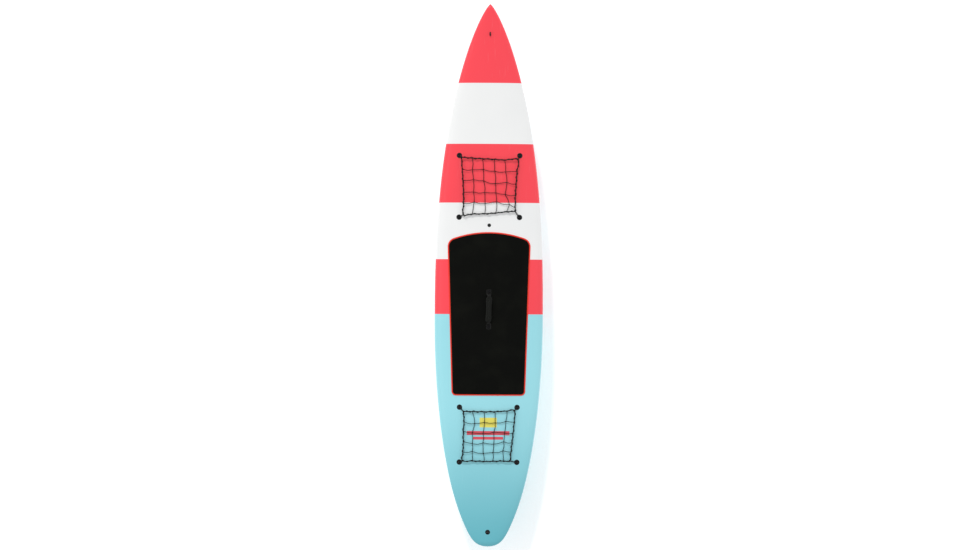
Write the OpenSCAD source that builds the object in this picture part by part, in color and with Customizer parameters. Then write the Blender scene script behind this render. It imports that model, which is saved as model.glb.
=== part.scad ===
// Rigid touring stand up paddleboard.
// Y runs along the board with the nose at +Y, X runs across it and the deck faces +Z.
// The origin is on the flat of the bottom, below the middle of the length.

/* [Hull] */
// Length from nose to tail
board_length = 3810; // [3700:10:3900]
// Greatest width
board_width = 762; // [740:2:780]
// Thickness in the middle
board_thickness = 150; // [145:1:160]
// Distance of the widest place behind the middle of the length
wide_back = 285; // [250:5:300]
// Rise of the bottom at the nose
nose_rocker = 120; // [100:5:140]
// Rise of the bottom at the tail
tail_rocker = 50; // [40:5:60]
// Thickness of the painted laminate
laminate = 2; // [1.5:0.1:2.5]
// Width of the wooden stringer
stringer_w = 9.6; // [8:0.2:10]

/* [Deck pad] */
// Front edge of the pad, along the board
pad_front = 306; // [290:2:310]
// Rear edge of the pad
pad_rear = -841; // [-860:1:-830]
// Half of the pad's width at its front edge
pad_half_front = 294; // [280:1:296]
// Half of the pad's width at its rear edge
pad_half_rear = 258; // [240:1:265]
// Thickness of the coloured lower layer
pad_base_t = 2.5; // [2:0.1:3]
// Thickness of the black upper layer
pad_top_t = 3.5; // [3:0.1:4]
// Width of the coloured line that the lower layer leaves round the upper one
pad_line = 9; // [6:0.5:12]

/* [Handle] */
// Middle of the front anchor, along the board
handle_front = -112; // [-120:1:-105]
// Middle of the rear anchor
handle_rear = -359; // [-365:1:-350]
// Length of the padded grip
grip_length = 170; // [160:1:175]
// Height of the middle of the grip above the deck
grip_height = 28; // [27:0.5:32]
// Width of the webbing
webbing_w = 25; // [22:1:26]
// Thickness of the webbing
webbing_t = 2.4; // [2:0.1:2.6]

/* [Deck fittings] */
// Middle of the vent
vent_y = 354; // [345:1:380]
// Middle of the leash cup
leash_y = -1802; // [-1810:1:-1790]
// Middle of the bow eye
bow_y = 1694; // [1670:1:1700]
// Radius of the bore through the bow eye
bow_bore_r = 4; // [3:0.5:5]

/* [Cargo nets] */
// Radius of the border cord
border_r = 4; // [3:0.5:5]
// Radius of the net twine
twine_r = 1.5; // [1.2:0.1:2]
// Height of the net over the middle of the deck
net_lift = 10; // [8:1:14]

/* [Fin] */
// Middle of the fin box, along the board
fin_y = -1438; // [-1450:1:-1430]
// Depth of the fin below the bottom
fin_depth = 230; // [200:5:240]
// Length of the fin's base
fin_base = 165; // [155:1:170]
// Length of the slot in the fin box
slot_length = 252; // [250:1:254]

/* [Hidden] */
$fn = 48;

gap = 0.2;            // glue line between two bonded pieces
cut = 1;              // how far a cutter runs past the face it cuts
half_length = board_length / 2;
tip_fill = 24;        // solid laminate at each tip
tip_roll = 40;        // length over which each tip rounds off
tip_min = 0.12;       // share of the thickness left at the very tip
tip_w = 5;            // half width left at the very tip
stations = 40;
columns = 10;         // columns of the section on each side of the middle
flat_columns = 3;     // of those, how many lie in the flat of the bottom
rail_share = 0.45;    // height of the widest line of the rail, as a share of the thickness
nose_thin = 100;      // loss of thickness at the nose
tail_thin = 108;      // loss of thickness at the tail
nose_flat_y = 250;    // the bottom is flat between these two places
tail_flat_y = -500;
tail_full = 0.4;      // how much wider than an ellipse the outline is at the very tail
tail_full_power = 30; // the higher, the nearer to the tail this starts
deck_power = 2.8;     // fullness of the deck's section
rail_power = 2.2;     // fullness of the rail below its widest line

core_inset = laminate + gap;
colour_coral = [1, 0.31, 0.35];
colour_aqua = [0.6, 0.87, 0.9];
colour_black = [0.08, 0.08, 0.07];
colour_foam = [0.93, 0.92, 0.88];

// ---- Shape of the hull --------------------------------------------------------------------

function nose_u(y) = max(0, (y + wide_back) / (half_length + wide_back));
function tail_u(y) = max(0, (-wide_back - y) / (half_length - wide_back));
function half_width(y) = max(tip_w, board_width / 2
    * pow(max(0, 1 - pow(nose_u(y), 2.4)), 0.78)
    * sqrt(max(0, 1 - pow(tail_u(y), 2)))
    * (1 + tail_full * pow(tail_u(y), tail_full_power)));

function bottom_z(y) = nose_rocker * pow(max(0, (y - nose_flat_y) / (half_length - nose_flat_y)), 2.3)
    + tail_rocker * pow(max(0, (tail_flat_y - y) / (half_length + tail_flat_y)), 2.2);
function thickness(y) = board_thickness
    - nose_thin * pow(max(0, y / half_length), 2.6)
    - tail_thin * pow(max(0, -y / half_length), 2.8);
function rail_z(y) = bottom_z(y) + rail_share * thickness(y);

// Round end of the board: 1 away from the tips, falling along a quarter circle at each.
function tip(y) = max(tip_min, sqrt(1 - pow(max(0, 1 - (half_length - abs(y)) / tip_roll), 2)));
function rise(y) = (1 - rail_share) * thickness(y) * tip(y);
function drop(y) = rail_share * thickness(y) * tip(y);
function flat_share(y) = 0.6 - 0.3 * pow(max(0, (y - nose_flat_y) / (half_length - nose_flat_y)), 1.5);

function deck_z(x, y) = rail_z(y)
    + rise(y) * pow(max(0, 1 - pow(abs(x) / half_width(y), deck_power)), 1 / deck_power);
function slope_x(x, y) = (deck_z(x + 1, y) - deck_z(x - 1, y)) / 2;
function slope_y(x, y) = (deck_z(x, y + 1) - deck_z(x, y - 1)) / 2;

// One point of the upper half section, column j of -columns to columns, at an inset from the paint.
function deck_point(y, j, inset) =
    let (a = 90 * abs(j) / columns,
         x = (half_width(y) - inset) * pow(sin(a), 2 / deck_power))
    [sign(j) * x, y, rail_z(y) + (rise(y) - inset) * pow(max(0, cos(a)), 2 / deck_power)];

// One point of the lower half section: a flat middle, then a rounded rail.
function hull_point(y, j, inset) =
    let (w = half_width(y) - inset,
         f = flat_share(y) * w,
         k = abs(j),
         a = 90 * max(0, k - flat_columns) / (columns - flat_columns),
         x = k <= flat_columns ? f * k / flat_columns : f + (w - f) * pow(sin(a), 2 / rail_power))
    [sign(j) * x, y, rail_z(y) - (drop(y) - inset) * pow(max(0, cos(a)), 2 / rail_power)];

// Stations crowd towards both tips, where the outline bends most.
function station(i, reach) = reach * cos(180 * i / (stations - 1));
function deck_grid(inset, reach) =
    [for (i = [0:stations - 1], j = [-columns:columns]) deck_point(station(i, reach), j, inset)];
function hull_grid(inset, reach) =
    [for (i = [0:stations - 1], j = [-columns:columns]) hull_point(station(i, reach), j, inset)];

// ---- Solids from rows of points -----------------------------------------------------------

function flipped(faces, flip) =
    flip ? [for (f = faces) [for (k = [len(f) - 1:-1:0]) f[k]]] : faces;

// Two triangles for each four-sided gap between rows of c points.
function grid_faces(rows, c, base) =
    [for (i = [0:rows - 2], j = [0:c - 2])
        let (p = base + i * c + j)
        each [[p, p + 1, p + c + 1], [p, p + c + 1, p + c]]];

function quad(a, b, c, d) = [[a, b, c], [a, c, d]];

// A closed shell between an outer and an inner grid that meet along both rails.
module half_shell(outer, inner, flip) {
    c = 2 * columns + 1;
    n = len(outer);
    last = n - c;
    seam = [for (i = [0:stations - 2]) let (p = i * c) each concat(
        quad(p, p + c, n + p + c, n + p),
        quad(p + 2 * c - 1, p + c - 1, n + p + c - 1, n + p + 2 * c - 1))];
    ends = concat(
        [[for (j = [c - 1:-1:0]) j], [for (j = [0:c - 1]) n + j]],
        quad(c - 1, 0, n, n + c - 1),
        [[for (j = [0:c - 1]) last + j], [for (j = [c - 1:-1:0]) n + last + j]],
        quad(last, last + c - 1, n + last + c - 1, n + last));
    faces = concat(grid_faces(stations, c, 0),
        flipped(grid_faces(stations, c, n), true), seam, ends);
    polyhedron(concat(outer, inner), flipped(faces, flip), convexity = 6);
}

// A closed solid through rows, each of them a closed loop of points.
module through(rows) {
    c = len(rows[0]);
    r = len(rows);
    sides = [for (i = [0:r - 2], j = [0:c - 1])
        let (p = i * c + j, q = i * c + (j + 1) % c)
        each quad(p, q, q + c, p + c)];
    caps = [[for (j = [c - 1:-1:0]) j], [for (j = [0:c - 1]) (r - 1) * c + j]];
    polyhedron([for (row = rows) each row], concat(sides, caps), convexity = 6);
}

// A flat bar with round ends, its length along Y, its lower face at z = 0.
module stadium(length, width, height) {
    translate([-width / 2, -(length - width) / 2, 0]) cube([width, length - width, height]);
    for (s = [-1, 1])
        translate([0, s * (length - width) / 2, 0]) cylinder(r = width / 2, h = height);
}

// A round bar from point a to point b.
module rod(a, b, r) {
    d = b - a;
    translate(a)
        rotate([0, acos(d[2] / norm(d)), atan2(d[1], d[0])])
            cylinder(r = r, h = norm(d));
}

// Puts something on the deck, square to the surface there.
module at_deck(x, y) {
    translate([x, y, deck_z(x, y)])
        rotate([atan(slope_y(x, y)), -atan(slope_x(x, y)), 0])
            children();
}

// ---- Hull ---------------------------------------------------------------------------------

// Half of the foam core, on the +X side, with its flat side at the stringer.
module core_half() {
    reach = half_length - tip_fill - gap;
    edge = stringer_w / 2 + gap;
    through([for (i = [0:stations - 1]) let (y = station(i, reach)) concat(
        [for (j = [0:columns]) let (p = deck_point(y, j, core_inset)) [max(edge, p[0]), p[1], p[2]]],
        [for (j = [columns - 1:-1:0]) let (p = hull_point(y, j, core_inset)) [max(edge, p[0]), p[1], p[2]]])]);
}

// The space that the fittings take in the hull.
module pockets() {
    for (k = [0:3]) {
        at_deck(front_plugs[k][0], front_plugs[k][1]) plug_pocket();
        at_deck(rear_plugs[k][0], rear_plugs[k][1]) plug_pocket();
    }
    at_deck(0, vent_y) {
        translate([0, 0, -flange_sink - gap]) cylinder(r = vent_flange_r + gap, h = 20);
        translate([0, 0, -vent_depth - gap]) cylinder(r = vent_body_r + gap, h = vent_depth + cut);
    }
    at_deck(0, leash_y) {
        translate([0, 0, -flange_sink - gap]) cylinder(r = leash_flange_r + gap, h = 20);
        translate([0, 0, -leash_depth - gap]) cylinder(r = leash_body_r + gap, h = leash_depth + cut);
    }
    at_deck(0, bow_y) translate([0, 0, -bow_foot_depth - gap])
        stadium(bow_length + 2 * gap, bow_w + 2 * gap, bow_foot_depth + 20);
    for (y = [handle_front, handle_rear])
        at_deck(0, y) translate([0, 0, -insert_depth - gap])
            cylinder(r = insert_r + gap, h = insert_depth + 20);
}

module plug_pocket() {
    translate([0, 0, -flange_sink - gap]) cylinder(r = plug_flange_r + gap, h = 20);
    translate([0, 0, -plug_depth - gap]) cylinder(r = plug_body_r + gap, h = plug_depth + cut);
}

module block_pocket() {
    at_fin() translate([0, 0, -20]) stadium(block_length + 2 * gap, block_w + 2 * gap, block_top + 20 + gap);
}

module core_left() {
    color(colour_foam) difference() {
        mirror([1, 0, 0]) core_half();
        pockets();
        block_pocket();
    }
}

module core_right() {
    color(colour_foam) difference() {
        core_half();
        pockets();
        block_pocket();
    }
}

module stringer() {
    reach = half_length - tip_fill - gap;
    x = stringer_w / 2;
    color([0.75, 0.6, 0.4]) difference() {
        through([for (i = [0:stations - 1])
            let (y = station(i, reach),
                 top = rail_z(y) + rise(y) - core_inset,
                 low = rail_z(y) - drop(y) + core_inset)
            [[-x, y, top], [x, y, top], [x, y, low], [-x, y, low]]]);
        pockets();
        block_pocket();
    }
}

module deck_skin() {
    color("white") difference() {
        half_shell(deck_grid(0, half_length), deck_grid(laminate, half_length - tip_fill), false);
        pockets();
    }
}

module hull_skin() {
    color(colour_aqua) difference() {
        half_shell(hull_grid(0, half_length), hull_grid(laminate, half_length - tip_fill), true);
        at_fin() translate([0, 0, -10])
            stadium(box_length + 2 * gap, box_w + 2 * gap, 30);
    }
}

// ---- Deck pad -----------------------------------------------------------------------------

pad_front_station = 14;
pad_rear_station = 26;
pad_column = 9;
pad_corner_front = 62;
pad_corner_rear = 30;
pad_arc = 745;        // radius of the pad's front edge
anchor_hole_w = 38;   // clear opening in the pad at each handle anchor
anchor_hole_length = 60;

// The deck's own surface, thickened between two heights over it.
module deck_slab(low, high) {
    through([for (i = [pad_front_station:pad_rear_station])
        let (y = station(i, half_length)) concat(
            [for (j = [-pad_column:pad_column]) deck_point(y, j, 0) + [0, 0, high]],
            [for (j = [pad_column:-1:-pad_column]) deck_point(y, j, 0) + [0, 0, low]])]);
}

// Plan of the pad: an arched front edge and sides that close in to the rear.
module pad_outline() {
    intersection() {
        polygon([[-pad_half_front, pad_front], [pad_half_front, pad_front],
                 [pad_half_rear, pad_rear], [-pad_half_rear, pad_rear]]);
        union() {
            translate([0, pad_front - pad_arc]) circle(r = pad_arc, $fn = 180);
            translate([-pad_half_front, pad_rear]) square([2 * pad_half_front, pad_front - pad_rear - pad_arc / 2]);
        }
    }
}

module round_corners(r) {
    offset(r = r) offset(delta = -r) children();
}

// The front corners are rounder than the rear ones.
module pad_plan(inset) {
    offset(delta = -inset) {
        round_corners(pad_corner_front) pad_outline();
        intersection() {
            round_corners(pad_corner_rear) pad_outline();
            translate([-pad_half_front, pad_rear]) square([2 * pad_half_front, (pad_front - pad_rear) / 2]);
        }
    }
}

module anchor_openings() {
    for (y = [handle_front, handle_rear])
        translate([0, y, board_thickness - 40]) stadium(anchor_hole_length, anchor_hole_w, 80);
}

module pad_base() {
    color(colour_coral) difference() {
        intersection() {
            deck_slab(gap, gap + pad_base_t);
            translate([0, 0, board_thickness - 40]) linear_extrude(80) pad_plan(0);
        }
        anchor_openings();
    }
}

module pad_top() {
    color(colour_black) difference() {
        intersection() {
            deck_slab(2 * gap + pad_base_t, 2 * gap + pad_base_t + pad_top_t);
            translate([0, 0, board_thickness - 40]) linear_extrude(80) pad_plan(pad_line);
        }
        anchor_openings();
    }
}

// ---- Handle -------------------------------------------------------------------------------

insert_r = 11;
insert_depth = 30;
handle_mid = (handle_front + handle_rear) / 2;
handle_span = (handle_front - handle_rear) / 2;
tab_half = 15;        // half of the flat end of the webbing
tab_lift = 1.6;       // height of the webbing's middle over the deck at its ends
strap_steps = 40;
screw_hole_r = 3.4;

// Height of the webbing's middle, at a distance from the middle of the handle: flat on the deck at
// each anchor, level through the grip, and a smooth rise between them.
function strap_share(v) =
    let (t = max(0, min(1, (handle_span - tab_half - abs(v)) / (handle_span - tab_half - grip_length / 2))))
    t * t * (3 - 2 * t);
function strap_z(v) =
    (deck_z(0, handle_mid + v) + tab_lift) * (1 - strap_share(v))
    + (deck_z(0, handle_mid) + grip_height) * strap_share(v);
function strap_tilt(v) = atan((strap_z(v + 0.5) - strap_z(v - 0.5)));

module handle_webbing() {
    steps = [for (i = [0:strap_steps]) (handle_span + tab_half) * (1 - 2 * i / strap_steps)];
    h = webbing_t / 2;
    color(colour_black) difference() {
        translate([0, handle_mid, 0])
            through([for (v = steps) let (a = strap_tilt(v), z = strap_z(v)) [
                [-webbing_w / 2, v - h * sin(a), z + h * cos(a)], [webbing_w / 2, v - h * sin(a), z + h * cos(a)],
                [webbing_w / 2, v + h * sin(a), z - h * cos(a)], [-webbing_w / 2, v + h * sin(a), z - h * cos(a)]]]);
        for (y = [handle_front, handle_rear])
            translate([0, y, board_thickness - 20]) cylinder(r = screw_hole_r, h = 40);
    }
}

grip_rows = 16;
grip_sides = 16;
grip_half_t = 8;
strap_play = 0.8;     // room over and under the webbing inside the grip
grip_waist = 18;      // half width in the middle
grip_flare = 5;       // added at each end

// Padded sleeve: narrower in the middle, rounded off at both ends.
module handle_grip() {
    color(colour_black) difference() {
        translate([0, handle_mid, deck_z(0, handle_mid) + grip_height])
            through([for (i = [0:grip_rows])
                let (u = cos(180 * i / grip_rows),
                     round_off = sqrt(1 - pow(abs(u), 12)) * 0.45 + 0.55,
                     w = (grip_waist + grip_flare * u * u) * round_off)
                [for (k = [0:grip_sides - 1])
                    let (a = 90 - 360 * k / grip_sides)
                    [w * sign(cos(a)) * pow(abs(cos(a)), 0.7), grip_length / 2 * u,
                     grip_half_t * round_off * sign(sin(a)) * pow(abs(sin(a)), 0.7)]]]);
        translate([-webbing_w / 2 - 0.6, handle_mid - grip_length,
                   deck_z(0, handle_mid) + grip_height - webbing_t / 2 - strap_play])
            cube([webbing_w + 1.2, 2 * grip_length, webbing_t + 2 * strap_play]);
    }
}

module handle_insert(y) {
    color([0.85, 0.75, 0.4]) at_deck(0, y) difference() {
        translate([0, 0, -insert_depth]) cylinder(r = insert_r, h = insert_depth);
        translate([0, 0, -insert_depth + 4]) cylinder(r = 3.05, h = insert_depth);
    }
}

module handle_washer(y) {
    color([0.7, 0.7, 0.72]) at_deck(0, y) translate([0, 0, washer_z]) difference() {
        cylinder(r = 10, h = washer_t);
        translate([0, 0, -cut]) cylinder(r = 3.3, h = washer_t + 2 * cut);
    }
}

washer_z = 3.1;
washer_t = 1.4;
driver_r = 2.3;

module handle_screw(y) {
    color([0.7, 0.7, 0.72]) at_deck(0, y) difference() {
        union() {
            translate([0, 0, -22]) cylinder(r = 3, h = 22 + washer_z + washer_t + 1);
            translate([0, 0, washer_z + washer_t + 0.05]) cylinder(r1 = 6, r2 = 5, h = 3);
        }
        translate([0, 0, washer_z + washer_t + 1.5]) cylinder(r = driver_r, h = 3, $fn = 6);
    }
}

module handle_insert_front() { handle_insert(handle_front); }
module handle_insert_rear() { handle_insert(handle_rear); }
module handle_washer_front() { handle_washer(handle_front); }
module handle_washer_rear() { handle_washer(handle_rear); }
module handle_screw_front() { handle_screw(handle_front); }
module handle_screw_rear() { handle_screw(handle_rear); }

// ---- Vent ---------------------------------------------------------------------------------

flange_sink = 2;      // how far a flange is let into the deck
vent_flange_r = 12.5;
vent_body_r = 9.5;
vent_depth = 22;
vent_head_r = 8;
vent_neck_r = 4;
ring_r = 5.4;
ring_wire_r = 1.1;

module vent_housing() {
    color(colour_black) at_deck(0, vent_y) difference() {
        union() {
            translate([0, 0, -flange_sink]) cylinder(r = vent_flange_r, h = flange_sink + 1.2);
            translate([0, 0, -vent_depth]) cylinder(r = vent_body_r, h = vent_depth);
        }
        translate([0, 0, -1.4]) cylinder(r = vent_head_r + 0.3, h = 5);
        translate([0, 0, -3.7]) cylinder(r = ring_r + ring_wire_r + 0.3, h = 5);
        translate([0, 0, -15]) cylinder(r = vent_neck_r + 0.08, h = 15);
        translate([0, 0, -16]) cylinder(r = 5.5, h = 2);
        translate([0, 0, -vent_depth - cut]) cylinder(r = 1.5, h = vent_depth);
    }
}

module vent_membrane() {
    color("white") at_deck(0, vent_y) translate([0, 0, -15.5]) cylinder(r = 5.2, h = 0.6);
}

module vent_o_ring() {
    color(colour_black) at_deck(0, vent_y) translate([0, 0, -2.5])
        rotate_extrude() translate([ring_r, 0]) circle(r = ring_wire_r);
}

module vent_screw() {
    color([0.2, 0.2, 0.2]) at_deck(0, vent_y) difference() {
        union() {
            translate([0, 0, -1.3]) cylinder(r = vent_head_r, h = 2.4);
            translate([0, 0, -12]) cylinder(r = vent_neck_r, h = 12);
        }
        translate([-vent_head_r, -1, 0]) cube([2 * vent_head_r, 2, 2]);
        translate([0, 0, -13]) cylinder(r = 1, h = 10);
        translate([-5, 0, -5]) rotate([0, 90, 0]) cylinder(r = 0.8, h = 10);
    }
}

// ---- Leash cup, bow eye and net plugs -----------------------------------------------------

leash_flange_r = 17;
leash_body_r = 13.6;
leash_depth = 16;
leash_pin_r = 2.4;
leash_pin_z = -3;
leash_bowl_r = 11.6;

module leash_cup() {
    color(colour_black) at_deck(0, leash_y) difference() {
        union() {
            translate([0, 0, -flange_sink]) cylinder(r = leash_flange_r, h = flange_sink + 1.4);
            translate([0, 0, -leash_depth]) cylinder(r = leash_body_r, h = leash_depth);
        }
        translate([0, 0, -leash_depth + 2]) cylinder(r = leash_bowl_r, h = leash_depth + 2);
        translate([-13, 0, leash_pin_z]) rotate([0, 90, 0]) cylinder(r = leash_pin_r + 0.05, h = 26);
    }
}

module leash_pin() {
    color([0.75, 0.76, 0.78]) at_deck(0, leash_y)
        translate([-12.9, 0, leash_pin_z]) rotate([0, 90, 0]) cylinder(r = leash_pin_r, h = 25.8);
}

bow_length = 30;
bow_w = 8;
bow_foot_depth = 18;
bow_eye_z = 8;
bow_eye_r = 8.6;

// Eye for a tow line: a round-ended foot let into the nose, with a bored lug on it.
module bow_eye() {
    color(colour_black) at_deck(0, bow_y) difference() {
        union() {
            translate([0, 0, -bow_foot_depth]) stadium(bow_length, bow_w, bow_foot_depth + 1.5);
            translate([-bow_w / 2, -bow_eye_r, 0]) cube([bow_w, 2 * bow_eye_r, bow_eye_z]);
            translate([-bow_w / 2, 0, bow_eye_z]) rotate([0, 90, 0]) cylinder(r = bow_eye_r, h = bow_w);
        }
        translate([-bow_w, 0, bow_eye_z]) rotate([0, 90, 0]) cylinder(r = bow_bore_r, h = 2 * bow_w);
    }
}

plug_flange_r = 19;
plug_body_r = 14.5;
plug_depth = 15;
plug_bowl_r = 12.6;
plug_pin_r = 1.9;
plug_pin_z = -3;

// Places of the plugs, in order round each net from the left corner nearest the nose.
front_plugs = [[-212, 843], [212, 843], [212, 410], [-212, 410]];
rear_plugs = [[-202, -923], [202, -923], [202, -1309], [-202, -1309]];

module net_plug(place) {
    color(colour_black) at_deck(place[0], place[1]) difference() {
        union() {
            translate([0, 0, -flange_sink]) cylinder(r = plug_flange_r, h = flange_sink + 1.4);
            translate([0, 0, -plug_depth]) cylinder(r = plug_body_r, h = plug_depth);
        }
        translate([0, 0, -plug_depth + 1.6]) cylinder(r = plug_bowl_r, h = plug_depth + 2);
        translate([-14, 0, plug_pin_z]) rotate([0, 90, 0]) cylinder(r = plug_pin_r + 0.05, h = 28);
    }
}

module net_pin(place) {
    color([0.75, 0.76, 0.78]) at_deck(place[0], place[1])
        translate([-13.9, 0, plug_pin_z]) rotate([0, 90, 0]) cylinder(r = plug_pin_r, h = 27.8);
}

// ---- Cargo nets ---------------------------------------------------------------------------

// Corners of the border cords, in the same order as the plugs.
front_corners = [[-195, 834], [196, 816], [181, 453], [-183, 428]];
rear_corners = [[-174, -952], [185, -946], [151, -1301], [-179, -1296]];
net_cells = 5;
loop_r = 4.6;         // radius of the loop round a plug's pin
loop_cord_r = 2;

function raised(p) = [p[0], p[1], deck_z(0, p[1]) + net_lift];
function between(a, b, t) = a + (b - a) * t;
function end_share(a, b) = (border_r + gap) / norm(b - a);

module net_border(corners) {
    c = [for (p = corners) raised(p)];
    color(colour_black) for (k = [0:3]) {
        rod(c[k], c[(k + 1) % 4], border_r);
        translate(c[k]) sphere(r = border_r + 1);
    }
}

module twine(a, b) {
    e = end_share(a, b);
    rod(between(a, b, e), between(a, b, 1 - e), twine_r);
}

module net_mesh(corners) {
    c = [for (p = corners) raised(p)];
    color(colour_black) for (k = [1:net_cells - 1]) {
        twine(between(c[0], c[1], k / net_cells), between(c[3], c[2], k / net_cells));
        twine(between(c[0], c[3], k / net_cells), between(c[1], c[2], k / net_cells));
    }
}

// A loop round each plug's pin and the cord from it to the border's corner.
module net_loops(corners, plugs) {
    color(colour_black) for (k = [0:3]) {
        p = plugs[k];
        start = [p[0], p[1], deck_z(p[0], p[1]) + plug_pin_z + loop_r];
        corner = raised(corners[k]);
        stop = between(corner, start, (border_r + 1 + gap) / norm(start - corner));
        at_deck(p[0], p[1]) translate([0, 0, plug_pin_z]) rotate([0, 90, 0])
            rotate_extrude() translate([loop_r, 0]) circle(r = loop_cord_r);
        rod(start, stop, loop_cord_r);
    }
}

// ---- Fin and fin box ----------------------------------------------------------------------

box_length = 273;
box_w = 28;
box_depth = 26;
box_body_w = 20;
slot_w = 9.6;
groove_w = 14.4;
groove_low = 8;
groove_high = 14.6;
block_length = 330;
block_w = 66;
block_top = 50;
block_low = 3.4;
fin_w = 9.1;
fin_tab_h = 19.5;
fin_lip = 7.6;        // height of the fin's front lip, below the nut
fin_lip_length = 30;
fin_recess = 3.4;     // depth of the screw's recess
fin_screw_y = fin_base / 2 - 14;
fin_pin_y = -fin_base / 2 + 14;
fin_pin_z = 11.3;
fin_pin_r = 2.4;
nut_w = 13.6;
nut_t = 3.2;
nut_low = 8.4;
screw_r = 2;
fin_rows = 12;
fin_sides = 20;
fin_chord = fin_base - fin_lip_length + 2;
fin_tip_chord = 42;
fin_sweep = 150;

fin_tilt = atan((bottom_z(fin_y + 1) - bottom_z(fin_y - 1)) / 2);

// Puts something on the bottom at the fin box, square to it.
module at_fin() {
    translate([0, fin_y, bottom_z(fin_y)]) rotate([fin_tilt, 0, 0]) children();
}

module fin_box() {
    color(colour_black) at_fin() difference() {
        union() {
            stadium(box_length, box_w, laminate);
            stadium(box_length - 8, box_body_w, box_depth);
        }
        translate([0, 0, -cut]) stadium(slot_length, slot_w, box_depth - 2 + cut);
        translate([0, 0, groove_low]) stadium(slot_length - 0.4, groove_w, groove_high - groove_low);
        translate([-groove_w / 2, -9, -cut]) cube([groove_w, 18, groove_low + 2 * cut]);
    }
}

module fin_box_block() {
    color([0.95, 0.85, 0.6]) at_fin() difference() {
        translate([0, 0, block_low]) stadium(block_length, block_w, block_top - block_low);
        translate([0, 0, -cut]) stadium(box_length - 8 + 2 * gap, box_body_w + 2 * gap, box_depth + gap + cut);
    }
}

// Share of the way down the fin turned into a sweep backwards and a chord.
function fin_front(w) = fin_chord - fin_base / 2 - fin_sweep * pow(w, 1.7);
function fin_length(w) = fin_tip_chord + (fin_chord - fin_tip_chord) * (1 - pow(w, 1.25));
function foil(s) = pow(max(0, sin(180 * pow(s, 0.7))), 0.9);

module fin_blade() {
    through([for (i = [0:fin_rows])
        let (w = i / fin_rows,
             shrink = i == fin_rows ? 0.55 : 1,
             chord = fin_length(w) * shrink,
             front = fin_front(w) - fin_length(w) * (1 - shrink) / 2,
             half_t = (0.55 - 0.3 * w) * fin_w * 0.9 * shrink)
        [for (k = [0:fin_sides - 1])
            let (side = k < fin_sides / 2 ? -1 : 1,
                 s = k < fin_sides / 2 ? k / (fin_sides / 2) : 2 - k / (fin_sides / 2))
            [side * half_t * foil(s), front - chord * s, 0.6 - (fin_depth + 0.6) * w]]]);
}

module fin() {
    color([0.1, 0.1, 0.1]) at_fin() difference() {
        union() {
            translate([-fin_w / 2, -fin_base / 2, 0.6]) cube([fin_w, fin_base, fin_lip - 0.6]);
            translate([-fin_w / 2, -fin_base / 2, 0.6]) cube([fin_w, fin_base - fin_lip_length, fin_tab_h - 0.6]);
            fin_blade();
        }
        translate([-fin_w, fin_screw_y - 7, -20]) cube([2 * fin_w, 30, 20 + fin_recess]);
        translate([0, fin_screw_y, 0]) cylinder(r = screw_r + 0.2, h = fin_lip + cut);
        translate([-fin_w, fin_pin_y, fin_pin_z]) rotate([0, 90, 0]) cylinder(r = fin_pin_r + 0.05, h = 2 * fin_w);
    }
}

module fin_pin() {
    color([0.85, 0.75, 0.4]) at_fin()
        translate([-6.9, fin_pin_y, fin_pin_z]) rotate([0, 90, 0]) cylinder(r = fin_pin_r, h = 13.8);
}

module fin_nut() {
    color([0.7, 0.7, 0.72]) at_fin() difference() {
        translate([-nut_w / 2, fin_screw_y - nut_w / 2, nut_low]) cube([nut_w, nut_w, nut_t]);
        translate([0, fin_screw_y, nut_low - cut]) cylinder(r = screw_r + 0.06, h = nut_t + 2 * cut);
    }
}

module fin_washer() {
    color([0.7, 0.7, 0.72]) at_fin() translate([0, fin_screw_y, fin_recess - 0.9]) difference() {
        cylinder(r = 4.2, h = 0.8);
        translate([0, 0, -cut]) cylinder(r = screw_r + 0.1, h = 0.8 + 2 * cut);
    }
}

module fin_screw() {
    color([0.7, 0.7, 0.72]) at_fin() translate([0, fin_screw_y, 0]) difference() {
        union() {
            translate([0, 0, 0.4]) cylinder(r = 3.6, h = fin_recess - 1.4);
            translate([0, 0, 0.4]) cylinder(r = screw_r, h = 13);
        }
        translate([-0.5, -3.7, 0]) cube([1, 7.4, 1.3]);
    }
}

// ---- Nodes --------------------------------------------------------------------------------

core_left();
core_right();
stringer();
deck_skin();
hull_skin();
pad_base();
pad_top();
handle_grip();
handle_webbing();
handle_insert_front();
handle_insert_rear();
handle_washer_front();
handle_washer_rear();
handle_screw_front();
handle_screw_rear();
vent_housing();
vent_membrane();
vent_o_ring();
vent_screw();
leash_cup();
leash_pin();
bow_eye();
net_plug(front_plugs[0]);  // net_plug_front_left_fore
net_plug(front_plugs[1]);  // net_plug_front_right_fore
net_plug(front_plugs[2]);  // net_plug_front_right_aft
net_plug(front_plugs[3]);  // net_plug_front_left_aft
net_plug(rear_plugs[0]);  // net_plug_rear_left_fore
net_plug(rear_plugs[1]);  // net_plug_rear_right_fore
net_plug(rear_plugs[2]);  // net_plug_rear_right_aft
net_plug(rear_plugs[3]);  // net_plug_rear_left_aft
net_pin(front_plugs[0]);  // net_pin_front_left_fore
net_pin(front_plugs[1]);  // net_pin_front_right_fore
net_pin(front_plugs[2]);  // net_pin_front_right_aft
net_pin(front_plugs[3]);  // net_pin_front_left_aft
net_pin(rear_plugs[0]);  // net_pin_rear_left_fore
net_pin(rear_plugs[1]);  // net_pin_rear_right_fore
net_pin(rear_plugs[2]);  // net_pin_rear_right_aft
net_pin(rear_plugs[3]);  // net_pin_rear_left_aft
net_border(front_corners);  // front_net_border
net_border(rear_corners);  // rear_net_border
net_mesh(front_corners);  // front_net_mesh
net_mesh(rear_corners);  // rear_net_mesh
net_loops(front_corners, front_plugs);  // front_net_loops
net_loops(rear_corners, rear_plugs);  // rear_net_loops
fin_box();
fin_box_block();
fin();
fin_pin();
fin_nut();
fin_washer();
fin_screw();
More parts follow.
